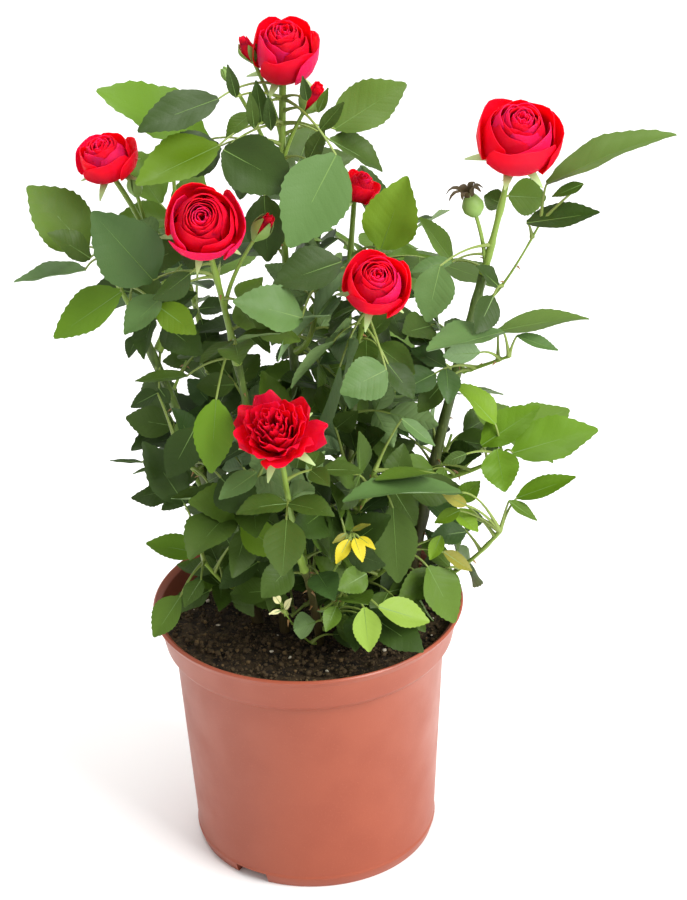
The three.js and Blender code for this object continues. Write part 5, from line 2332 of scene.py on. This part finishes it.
@dataclass
class Blossom:
    """The open blooms and the buds: petals, sepals and hips.

    Attributes:
        petal_mm: How thick a petal is.
        sepal_mm: How thick a sepal is.
        petal_turn: How far each petal turns from the last, which is how a rose deals them.
        bloom_hip: Radius and height of the hip under a bloom, as shares of the bloom's radius.
        bud_body: Radius and height of a bud, as shares of its radius.
        bud_hip: Radius and height of the hip under it.
        spent_hip: Radius and height of a bud that withered.
    """

    rose: Rose
    petal_mm: float = 0.22
    sepal_mm: float = 0.25
    petal_turn: float = math.radians(137.5)
    petals: dict[Red, Heap] = field(default_factory=lambda: {red: Heap() for red in Red})
    sepals: Heap = field(default_factory=Heap)
    hips: Heap = field(default_factory=Heap)
    bloom_hip: Profile = ((0, -0.3), (0.1, -0.28), (0.19, -0.12), (0.22, 0.0), (0.17, 0.1), (0, 0.12))
    bud_body: Profile = ((0.0, -0.3), (0.35, -0.22), (0.62, 0.1), (0.82, 0.7), (0.8, 1.3), (0.55, 2.0),
                         (0.28, 2.5), (0.0, 2.75))
    bud_hip: Profile = ((0, -0.55), (0.32, -0.45), (0.5, -0.15), (0.45, 0.15), (0, 0.3))
    spent_hip: Profile = (
        (0.0, -0.4), (0.5, -0.3), (0.95, 0.25), (1.0, 0.8), (0.72, 1.4), (0.5, 1.7), (0.0, 1.8),
    )

    def petal(self, base: np.ndarray, axes: np.ndarray, angle: float, depth: float, bloom: BloomRow, red: Red,
              dice: Dice) -> None:
        """Make one petal.

        Args:
            base: The bloom's foot.
            axes: The bloom's turned axes, as columns.
            angle: Which way the petal looks, in radians.
            depth: How far in it stands, from 0, outermost, to 1, the heart.
            bloom: The bloom's sizes.
            red: Its colour.
            dice: What varies it.
        """
        radius, height = bloom.radius, bloom.height
        is_guard = depth < 0.2
        form = OPEN_FORM if bloom.crimson else CUP_FORM
        rise = depth ** 0.6 if bloom.crimson else math.sin(math.pi / 2 * min(depth / 0.6, 1))
        top = height * (lerp(*form.top, rise) + dice.between(-form.top_sway, form.top_sway))
        belly = radius * lerp(*form.belly, depth ** form.closing)
        if bloom.crimson:
            lip = radius * lerp(1.08, 0.12, depth ** 0.7)
        else:
            lip = belly * (lerp(0.96, 0.72, min(depth / 0.3, 1)) + dice.between(-0.05, 0.05))
        half_angle = math.radians(lerp(*form.reach, depth))
        corners = np.array([[0.07 * radius, 0.0], [belly * 1.12, -0.03 * height],
                            [belly * 1.08, 0.62 * top], [lip, top]])
        tilt, phase, waves = dice.between(-0.05, 0.05), dice.between(0, 6.28), dice.between(2.0, 4.0)
        ruffle = dice.between(0.015, 0.04) * (1.6 if is_guard or bloom.crimson else 1 - 0.6 * depth)
        rows, columns = 7, 9
        grid = np.zeros((rows, columns, 3))
        for i in range(rows):
            v = i / (rows - 1)
            weights = np.array([(1 - v) ** 3, 3 * (1 - v) ** 2 * v, 3 * (1 - v) * v * v, v ** 3])
            out, up = weights @ corners
            share = 0.3 + 0.7 * math.sin(math.pi / 2 * min(v / 0.55, 1))
            if v > 0.55:
                share *= lerp(1, form.edge, ((v - 0.55) / 0.45) ** 2)
            for k in range(columns):
                u = 2 * k / (columns - 1) - 1
                spin = angle + u * half_angle * share
                roll_out = (0.08 if is_guard else 0.0) * v ** 4
                reach = out + radius * (roll_out + v ** 3 * ruffle * math.sin(waves * u + phase))
                level = up - height * v ** 2 * (0.08 + 0.04 * u * u) * u * u + height * tilt * u * v
                level += height * 0.02 * v ** 2 * math.sin(2 * waves * u - phase)
                grid[i, k] = axes @ np.array([reach * math.cos(spin), reach * math.sin(spin), level]) + base
        self.petals[red].add(sheet(grid[:, ::-1], self.petal_mm))

    def sepal(self, base: np.ndarray, axes: np.ndarray, angle: float,
              profile: Callable[[float], tuple[float, float]], half_width: float) -> None:
        """Make one sepal along a profile.

        Args:
            base: The flower's foot.
            axes: Its turned axes, as columns.
            angle: Which way the sepal looks, in radians.
            profile: Gives its distance from the axis and its height for a share of its length.
            half_width: Its greatest half width.
        """
        rows, columns = 7, 3
        outward = np.array([math.cos(angle), math.sin(angle), 0.0])
        side = np.array([-math.sin(angle), math.cos(angle), 0.0])
        grid = np.zeros((rows, columns, 3))
        for i in range(rows):
            v = i / (rows - 1)
            out, up = profile(v)
            half = half_width * max(math.sin(math.pi * (0.12 + 0.86 * v ** 0.8)), 0.06) ** 0.8
            for k, s in enumerate((1, 0, -1)):
                spot = outward * (out - abs(s) * half * 0.25) + side * (s * half) + UP * up
                grid[i, k] = axes @ spot + base
        points, faces = sheet(grid, self.sepal_mm)
        fronts = (rows - 1) * (columns - 1)
        self.sepals.add((points, faces), [n % 2 for n in range(2 * fronts)] + [0] * (len(faces) - 2 * fronts))

    def bloom(self, shoot: Shoot, dice: Dice) -> None:
        """Make one open bloom.

        Args:
            shoot: The shoot that bears it.
            dice: What varies it.
        """
        row = shoot.row.bloom
        base, axes = np.array(shoot.row.tip, dtype=float), frame_of(shoot.facing)
        for i in range(row.petals):
            depth = (i / (row.petals - 1)) ** 0.85
            angle = i * self.petal_turn + dice.between(-0.2, 0.2)
            if row.crimson:
                red = dice.pick((Red.CRIMSON, Red.HEART, Red.DEEP))
            # The heart's petals mostly get the paler pink red, a painted highlight that lifts the shade
            # between them.
            elif depth > 0.7:
                red = dice.pick((Red.ROSE, Red.BRIGHT, Red.ROSE))
            else:
                red = dice.pick((Red.BRIGHT, Red.BRIGHT, Red.DEEP, Red.ROSE))
            self.petal(base, axes, angle, depth, row, red, dice)
        size = row.radius
        self.hips.add(lathe([(r * size, z * size) for r, z in self.bloom_hip], 12, axes, base))
        for i in range(5):
            angle = math.radians(72 * (i + 0.5) + dice.between(-8, 8))
            reach, hang = dice.between(0.85, 1.02) * size, dice.between(0.15, 0.45)
            self.sepal(base, axes, angle, lambda v, reach=reach, hang=hang: (
                0.1 * size + reach * v, 0.02 * size + reach * (0.12 * v - hang * v * v)), 0.13 * size)

    def bud(self, stalk: Curve, row: BudRow, dice: Dice) -> None:
        """Make one bud, closed or about to open.

        Args:
            stalk: Its stalk.
            row: Its place and sizes.
            dice: What varies it.
        """
        base, axes, size = np.array(row.place, dtype=float), frame_of(stalk.tangent(1)), row.radius
        if row.spent:
            self.spent_bud(base, axes, size, dice)
            return
        heap = self.petals[Red.DEEP] if row.open else self.hips
        heap.add(lathe([(r * size, z * size) for r, z in self.bud_body], 12, axes, base))
        self.hips.add(lathe([(r * size, z * size) for r, z in self.bud_hip], 10, axes, base))
        spread = 0.5 * row.open
        for i in range(5):
            angle = math.radians(72 * i + dice.between(-6, 6))
            reach = dice.between(2.7, 3.2) * (1 - 0.2 * row.open)

            def profile(v: float, reach: float = reach) -> tuple[float, float]:
                """Follow the bud's flank, and stand off it as the bud opens.

                Args:
                    v: The share of the way up the sepal.
                    reach: How far up the bud it reaches.

                Returns:
                    How far out and how far up it is.
                """
                flank = 0.35 + 0.58 * math.sin(math.pi * min(v * 0.95 + 0.05, 1))
                out = flank + 0.05 + spread * v * v * 1.6
                return size * out, size * (reach * v * (1 - 0.25 * row.open * v) - 0.15)

            self.sepal(base, axes, angle, profile, size * (0.62 - 0.2 * row.open))
        if row.open:
            for i in range(6):
                depth = 0.35 + 0.1 * i
                sizes = BloomRow(size * 1.15, size * 2.9, 5)
                red = dice.pick((Red.DEEP, Red.BRIGHT))
                self.petal(base, axes, i * self.petal_turn, depth, sizes, red, dice)

    def spent_bud(self, base: np.ndarray, axes: np.ndarray, size: float, dice: Dice) -> None:
        """Make a bud that withered unopened: a round hip under shrivelled, curled sepals.

        Args:
            base: Its foot.
            axes: Its turned axes, as columns.
            size: Its radius.
            dice: What varies it.
        """
        self.hips.add(lathe([(r * size, z * size) for r, z in self.spent_hip], 14, axes, base))
        for i in range(7):
            angle, reach = math.radians(51 * i + dice.between(-14, 14)), dice.between(1.0, 1.5) * size
            curl = dice.between(0.4, 0.9)
            first = len(self.sepals.slots)
            self.sepal(base, axes, angle, lambda v, reach=reach, curl=curl: (
                size * 0.45 + reach * curl * (1 - math.cos(2.3 * v)),
                size * 1.5 + reach * 0.9 * math.sin(2.5 * v)), 0.32 * size)
            self.sepals.slots[first:] = [2] * (len(self.sepals.slots) - first)

    def build(self) -> list[bpy.types.Object]:
        """Make all blooms and buds.

        Returns:
            The finished pieces.
        """
        for index, shoot in enumerate(self.rose.shoots):
            dice = Dice(7000 + index)
            if shoot.row.bloom:
                self.bloom(shoot, dice)
            for stalk, bud in shoot.stalks:
                self.bud(stalk, bud, dice)
        pieces = []
        for red, heap in self.petals.items():
            # Velvet of a petal: tiny cones on its skin leave no mirror gleam, and light goes on inside it.
            finish = Finish(f"rose petal, {red.name.lower()}", red.value, 0.6, grain_mm=0.4, relief_mm=0.02,
                            specular=0.15, glow_mm=4.0)
            pieces.append(leafy(heap.piece(f"petals_{red.name.lower()}", [finish.material()])))
        skins = [SEPAL.material(), SEPAL_INSIDE.material(), SPENT_SEPAL.material()]
        pieces.append(leafy(self.sepals.piece("sepals", skins)))
        pieces.append(leafy(self.hips.piece("hips", [SEPAL.material()])))
        return pieces


# Canes

@dataclass
class Canes:
    """The woody canes: green bark with low ridges, swollen where shoots leave, flat-cut at the soil.

    Attributes:
        ring_mm: How far apart its rings of points are.
        ridge_mm: How high the bark's ridges are.
        knot_mm: How high its knots are, and how long.
        swell_mm: How far it swells where a shoot leaves, and along what length.
        collar_mm: How far it swells at its foot, and along what length.
        sunk_mm: How far above the soil's level its flat cut is.
    """

    rose: Rose
    sides: int = 14
    ring_mm: float = 3.0
    ridge_mm: float = 0.09
    knot_mm: tuple[float, float] = (0.16, 7)
    swell_mm: tuple[float, float] = (0.3, 3.2)
    collar_mm: tuple[float, float] = (0.5, 5)
    sunk_mm: float = 0.1

    def radius(self, name: str, share: float, angle: float, length: float) -> float:
        """Give a cane's radius at a point of its bark.

        Args:
            name: The cane.
            share: The share of the way up.
            angle: The angle round it, in radians.
            length: The cane's length.

        Returns:
            The radius.
        """
        row = CANES[name]
        swell, reach = self.swell_mm
        collar, collar_reach = self.collar_mm
        knot, knot_length = self.knot_mm
        near = max((math.exp(-((share - shoot.at) * length / reach) ** 2)
                    for shoot in SHOOTS if shoot.cane == name), default=0.0)
        ridges = math.sin(3 * angle + 9 * share) + 0.6 * math.sin(7 * angle - 23 * share)
        knots = noise.noise(Vector((math.cos(angle), math.sin(angle), share * length / knot_length)))
        plain = lerp(row.root, row.end, share) + swell * near
        plain += collar * math.exp(-share * length / collar_reach)
        return plain + (self.ridge_mm * ridges + knot * knots)

    def cane(self, name: str, row: CaneRow, material: bpy.types.Material) -> bpy.types.Object:
        """Make one cane: a cylinder cut into rings, and bent along its line.

        Args:
            name: Its name.
            row: Its sizes.
            material: Its bark.

        Returns:
            The finished piece.
        """
        curve = self.rose.cane_curve(row)
        length = curve.length()
        rings = round(length / self.ring_mm)
        bpy.ops.object.select_all(action="DESELECT")
        bpy.ops.mesh.primitive_cylinder_add(vertices=self.sides, radius=row.root * MM, depth=length * MM,
                                            location=(0, 0, length / 2 * MM), end_fill_type="TRIFAN")
        cane = bpy.context.object
        cane.name = cane.data.name = f"{name}_bark"
        bpy.ops.object.transform_apply(location=True, rotation=True, scale=True)
        bpy.ops.object.mode_set(mode="EDIT")
        bpy.ops.mesh.select_mode(type="EDGE")
        bpy.ops.mesh.select_all(action="DESELECT")
        bpy.ops.object.mode_set(mode="OBJECT")
        for edge in cane.data.edges:
            low, high = (cane.data.vertices[corner].co.z for corner in edge.vertices)
            edge.select = abs(low - high) > length / 2 * MM
        bpy.ops.object.mode_set(mode="EDIT")
        bpy.ops.mesh.subdivide(number_cuts=rings - 1)
        bpy.ops.object.mode_set(mode="OBJECT")
        low_end = RULE.soil_level + self.sunk_mm
        for corner in cane.data.vertices:
            share = min(max(corner.co.z / (length * MM), 0.0), 1.0)
            angle = math.atan2(corner.co.y, corner.co.x)
            out = math.hypot(corner.co.x, corner.co.y) / (row.root * MM)
            centre, tangent = curve.point(share), curve.tangent(share)
            side = unit(np.cross(np.array([0.0, 1.0, 0.0]), tangent))
            other = np.cross(tangent, side)
            reach = self.radius(name, share, angle, length) * out
            place = centre + (side * math.cos(angle) + other * math.sin(angle)) * reach
            if place[2] < low_end and tangent[2] > 0:
                place = place + tangent * ((low_end - place[2]) / tangent[2])
            corner.co = Vector(place) * MM
        cane.data.materials.append(material)
        smooth(cane, 60)
        return settle(cane, [name])

    def build(self) -> list[bpy.types.Object]:
        """Make all canes.

        Returns:
            The finished pieces.
        """
        material = CANE_BARK.material()
        return [self.cane(name, row, material) for name, row in CANES.items()]


# The pot and its soil

def drawn_up(name: str, rows: Sequence[tuple[float, float]], segments: int) -> bpy.types.Object:
    """Draw a disc up ring by ring, as a turned shape, and leave it in edit mode, its last ring selected.

    Args:
        name: The object's name.
        rows: Radius and height of each ring, in millimetres.
        segments: How many sides it has.

    Returns:
        The object.
    """
    radius, height = rows[0]
    bpy.ops.object.select_all(action="DESELECT")
    bpy.ops.mesh.primitive_circle_add(vertices=segments, radius=radius * MM, location=(0, 0, height * MM),
                                      fill_type="NGON")
    shape = bpy.context.object
    shape.name = shape.data.name = name
    bpy.ops.object.mode_set(mode="EDIT")
    bpy.ops.mesh.select_all(action="SELECT")
    for next_radius, next_height in rows[1:]:
        rise = (0, 0, (next_height - height) * MM)
        bpy.ops.mesh.extrude_region_move(TRANSFORM_OT_translate={"value": rise})
        share = next_radius / radius
        bpy.ops.transform.resize(value=(share, share, 1), center_override=(0, 0, next_height * MM))
        radius, height = next_radius, next_height
    return shape


def close_up(shape: bpy.types.Object) -> None:
    """Turn the faces of a shape in edit mode outwards, and leave edit mode.

    Args:
        shape: The object.
    """
    bpy.ops.mesh.select_all(action="SELECT")
    bpy.ops.mesh.normals_make_consistent(inside=False)
    only(shape)


@dataclass
class Pot:
    """A 12 cm nursery pot: thin moulded walls, a lipped band, a foot ring with notches.

    Attributes:
        notches: How many notches the foot has, the first one's angle, and their width, depth and height.
        drains: How many drain holes there are, the radius of their circle, and their own radius.
    """

    rim_radius: float = 60
    height: float = 103
    band_height: float = 16
    band_foot_radius: float = 55.3
    shoulder_radius: float = 52.1
    foot_radius: float = 47.3
    foot_height: float = 5.4
    wall: float = 1.3
    ring_width: float = 4
    lip_width: float = 3
    bevel: float = 0.9
    rounding: float = 0.35
    pad_radius: float = 13
    channel_height: float = 4
    notches: tuple[int, float, float, float, float] = (3, 236, 14, 12, 4.4)
    drains: tuple[int, float, float] = (6, 29, 3.5)
    segments: int = 144

    def profile(self) -> list[tuple[float, float]]:
        """List the wall's radius and height, from the underside round the lip to the inner floor.

        Returns:
            The rows.
        """
        foot = self.height - self.band_height
        floor = self.channel_height + self.wall
        lip, bevel = self.lip_width, self.bevel
        return [
            (self.pad_radius, 0), (self.pad_radius + 2 * bevel, self.channel_height),
            (self.foot_radius - self.ring_width - 2 * bevel, self.channel_height),
            (self.foot_radius - self.ring_width, 0), (self.foot_radius - bevel, 0),
            (self.foot_radius + bevel / 2, self.foot_height - bevel), (self.foot_radius, self.foot_height),
            (self.shoulder_radius, foot - bevel), (self.band_foot_radius - bevel, foot),
            (self.band_foot_radius + bevel / 2, foot + 2),
            (self.rim_radius - lip + bevel, self.height - lip - bevel),
            (self.rim_radius - bevel, self.height - lip + bevel), (self.rim_radius, self.height - bevel),
            (self.rim_radius - bevel, self.height), (self.rim_radius - lip, self.height - 2 * bevel),
            (self.band_foot_radius - self.wall, foot + 2 * bevel),
            (self.shoulder_radius - self.wall, foot - 2 * bevel), (self.foot_radius - self.wall, floor),
            (self.pad_radius + bevel, floor), (self.pad_radius - bevel, self.wall),
        ]

    def cut(self, pot: bpy.types.Object, cutter: bpy.types.Object) -> None:
        """Cut one shape out of the pot.

        Args:
            pot: The pot.
            cutter: What is cut away.
        """
        only(pot)
        cutting = pot.modifiers.new("cut", "BOOLEAN")
        cutting.operation, cutting.solver, cutting.object = "DIFFERENCE", "EXACT", cutter
        bpy.ops.object.modifier_apply(modifier=cutting.name)
        bpy.data.objects.remove(cutter)

    def build(self) -> list[bpy.types.Object]:
        """Make the pot: a disc drawn up ring by ring, its edges rounded, then cut.

        Returns:
            The finished piece.
        """
        pot = drawn_up("pot_shell", self.profile(), self.segments)
        close_up(pot)
        rounding = pot.modifiers.new("rounding", "BEVEL")
        rounding.width, rounding.segments, rounding.limit_method = self.rounding * MM, 2, "ANGLE"
        rounding.angle_limit = math.radians(20)
        bpy.ops.object.modifier_apply(modifier=rounding.name)
        count, first, width, depth, rise = self.notches
        for i in range(count):
            angle = math.radians(first + 360 / count * i)
            across, along = self.foot_radius * MM * math.cos(angle), self.foot_radius * MM * math.sin(angle)
            bpy.ops.mesh.primitive_cube_add(
                size=1, location=(across, along, 0), rotation=(0, 0, angle),
                scale=(depth * MM, width * MM, 2 * rise * MM))
            self.cut(pot, bpy.context.object)
        count, circle, radius = self.drains
        for i in range(count):
            angle = math.radians(360 / count * i)
            across, along = circle * MM * math.cos(angle), circle * MM * math.sin(angle)
            bpy.ops.mesh.primitive_cylinder_add(
                vertices=24, radius=radius * MM, depth=6 * self.wall * MM,
                location=(across, along, self.channel_height * MM))
            self.cut(pot, bpy.context.object)
        pot.data.materials.clear()
        pot.data.materials.append(POT_PLASTIC.material())
        only(pot)
        bpy.ops.object.transform_apply(location=True, rotation=True, scale=True)
        smooth(pot, 35)
        return [settle(pot, ["pot"])]


@dataclass
class Compost:
    """The compost that fills the pot: a crumbly top, lower along the wall, with perlite in it.

    Attributes:
        level: The height of its top.
        edge_drop: How much lower it lies along the wall.
        edge_width: How far in from the wall it slopes.
        gap: The room between it and the pot.
        sides: How many sides its outline has.
        rings: How many rings its top is inset by.
        rough_mm: How high its lumps are, and how wide.
        sunk_mm: How far its lumps are sunk under its level.
        crumbs: How many crumbs lie on it.
        flecks: How many flecks of perlite lie on it.
        bark_every: Which of the crumbs are dry bark.
        crumb_mm: The radius of the smallest crumb, and how much larger the largest is.
    """

    pot: Pot
    level: float = 95
    edge_drop: float = 2
    edge_width: float = 8
    gap: float = 0.3
    sides: int = 96
    rings: int = 34
    rough_mm: tuple[float, float] = (0.9, 7)
    sunk_mm: float = 0.5
    crumbs: int = 2600
    flecks: int = 26
    bark_every: int = 11
    crumb_mm: tuple[float, float] = (0.3, 0.9)

    def top_at(self, x: float, y: float) -> float:
        """Give the height of the compost's top.

        Args:
            x: Across the pot.
            y: Along the pot.

        Returns:
            The height.
        """
        out = math.hypot(x, y)
        edge = self.pot.band_foot_radius - self.gap
        drop = self.edge_drop * min(max((out - edge + self.edge_width) / self.edge_width, 0), 1)
        lump, width = self.rough_mm
        rough = noise.fractal(Vector((x, y, 0)) / width, 1.0, 2.0, 4) * lump
        return self.level - drop - self.sunk_mm + rough

    def body(self) -> bpy.types.Object:
        """Make the body of the compost, with its rough top.

        Returns:
            The finished piece.
        """
        pot, inset = self.pot, self.pot.wall + self.gap
        foot = pot.height - pot.band_height
        floor = pot.channel_height + pot.wall + self.gap
        edge = pot.band_foot_radius - self.gap
        rows = [
            (pot.pad_radius - pot.bevel - self.gap, inset), (pot.pad_radius + pot.bevel - self.gap, floor),
            (pot.foot_radius - inset - self.gap, floor), (pot.shoulder_radius - inset, foot - 2 * pot.bevel),
            (pot.band_foot_radius - inset - self.gap, foot + 2 * pot.bevel),
            (edge, self.level - self.edge_drop),
        ]
        soil = drawn_up("compost", rows, self.sides)
        for _ in range(self.rings):
            bpy.ops.mesh.inset(thickness=edge / (self.rings + 1) * MM, use_even_offset=False)
        close_up(soil)
        top = (self.level - self.edge_drop) * MM - 1e-5
        for corner in soil.data.vertices:
            if corner.co.z > top:
                corner.co.z = self.top_at(corner.co.x / MM, corner.co.y / MM) * MM
        soil.data.materials.append(PEAT.material())
        only(soil)
        bpy.ops.object.transform_apply(location=True, rotation=True, scale=True)
        smooth(soil, 80)
        return settle(soil, ["soil"])

    def crumb(self, x: float, y: float, size: float, flat: float, dice: Dice) -> Shape:
        """Make one crumb.

        Args:
            x: Across the pot.
            y: Along the pot.
            size: Its radius.
            flat: Its height as a share of its width.
            dice: What varies it.

        Returns:
            Its shape.
        """
        ball = [(0.0, -1.0), (0.8, -0.6), (1.0, 0.1), (0.7, 0.7), (0.0, 1.0)]
        axes = frame_of(unit(np.array([dice.between(-0.6, 0.6), dice.between(-0.6, 0.6), 1.0])))
        points, faces = lathe([(r * size, z * size * flat) for r, z in ball], 6, axes, np.zeros(3))
        shaken = points * np.array([[dice.between(0.7, 1.3)] for _ in points])
        sink = self.top_at(x, y) + size * flat * 0.35
        return shaken + np.array([x, y, sink]), faces

    def litter(self) -> list[bpy.types.Object]:
        """Strew crumbs and flecks over the top.

        Returns:
            The finished pieces.
        """
        dice = Dice(1234)
        smallest, spread = self.crumb_mm
        peat, dry, flecks = Heap(), Heap(), Heap()
        for i in range(self.crumbs):
            out = (self.pot.band_foot_radius - 3) * math.sqrt(dice.roll())
            angle = dice.between(0, 2 * math.pi)
            size = smallest + spread * dice.roll() ** 4
            heap = peat if i % self.bark_every else dry
            heap.add(self.crumb(out * math.cos(angle), out * math.sin(angle), size, 0.75, dice))
        for _ in range(self.flecks):
            out = (self.pot.band_foot_radius - 4) * math.sqrt(dice.roll())
            angle = dice.between(0, 2 * math.pi)
            size = smallest + spread * dice.roll() ** 2
            flecks.add(self.crumb(out * math.cos(angle), out * math.sin(angle), size, 0.6, dice))
        return [settle(peat.piece("peat_crumbs", [CRUMB.material()], 80)),
                settle(dry.piece("bark_crumbs", [DRY_CRUMB.material()], 80)),
                settle(flecks.piece("perlite_flecks", [PERLITE.material()], 80))]

    def build(self) -> list[bpy.types.Object]:
        """Make the compost and what lies on it."""
        return [self.body(), *self.litter()]


# The studio

@dataclass
class Studio:
    """A pale floor, soft light from the upper right, and the camera at the photograph's angle.

    Attributes:
        sensor: The width of the camera's sensor, in millimetres.
        aim: What the lamps look at, in metres.
        room_light: The strength of the light of the room.
        lamps: Each softbox's name, place and size in metres, and its power in watts.
    """

    sensor: float = 36
    aim: Point = (0, 0, 0.18)
    room_light: float = 0.62
    lamps: tuple[tuple[str, Point, float, float], ...] = (
        ("key softbox", (1.15, -0.8, 1.25), 1.1, 45),
        ("fill softbox", (-1.3, -1.1, 0.9), 1.3, 3),
        ("top softbox", (-0.1, 0.5, 1.7), 1.0, 20),
    )

    def camera(self) -> None:
        """Set the camera where the photograph was taken from."""
        data = bpy.data.cameras.new("camera")
        data.sensor_width = self.sensor
        data.lens = VIEW.focal_px / max(VIEW.frame_px) * self.sensor
        data.clip_start, data.clip_end = 0.05, 50
        camera = bpy.data.objects.new("camera", data)
        turn = Matrix(VIEW.axes.tolist()).to_4x4()
        camera.matrix_world = Matrix.Translation(Vector(VIEW.position) * MM) @ turn
        bpy.context.collection.objects.link(camera)
        bpy.context.scene.camera = camera

    def lamp(self, name: str, place: Point, size: float, power: float) -> None:
        """Hang a softbox that looks at the plant.

        Args:
            name: Its name.
            place: Where it hangs, in metres.
            size: The side of its square, in metres.
            power: Its power in watts.
        """
        data = bpy.data.lights.new(name, "AREA")
        data.shape, data.size, data.energy = "SQUARE", size, power
        lamp = bpy.data.objects.new(name, data)
        lamp.location = place
        lamp.rotation_mode = "QUATERNION"
        lamp.rotation_quaternion = (Vector(self.aim) - Vector(place)).to_track_quat("-Z", "Y")
        bpy.context.collection.objects.link(lamp)

    def floor(self) -> None:
        """Lay the pale floor."""
        bpy.ops.object.select_all(action="DESELECT")
        bpy.ops.mesh.primitive_plane_add(size=14)
        floor = bpy.context.object
        floor.name = "floor"
        floor.data.materials.append(STUDIO_PAPER.material())

    def build(self) -> None:
        """Set up the floor, the lights, the surroundings and the camera."""
        self.floor()
        for name, place, size, power in self.lamps:
            self.lamp(name, place, size, power)
        world = bpy.data.worlds.new("white room")
        world.use_nodes = True
        room = world.node_tree.nodes["Background"]
        room.inputs["Color"].default_value = linear("#ffffff")
        room.inputs["Strength"].default_value = self.room_light
        bpy.context.scene.world = world
        # The default view transform turns the reds of the petals pink and grey.
        bpy.context.scene.view_settings.view_transform = "Standard"
        self.camera()


def main() -> None:
    """Build the sub-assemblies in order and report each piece."""
    logging.basicConfig(level=logging.INFO, format="%(message)s")
    pot, rose = Pot(), Rose()
    rose.grow()
    LOG.info("%d leaves, %d leaflets", sum(len(shoot.leaves) for shoot in rose.shoots),
             sum(len(leaf.leaflets) for shoot in rose.shoots for leaf in shoot.leaves))
    for sub_assembly in (pot, Compost(pot), Canes(rose), Stems(rose), Foliage(rose), Blossom(rose)):
        for piece in sub_assembly.build():
            triangles = sum(len(face.vertices) - 2 for face in piece.data.polygons)
            LOG.info("%s: %d triangles", piece.name, triangles)
    Studio().build()


if __name__ == "__main__":
    main()
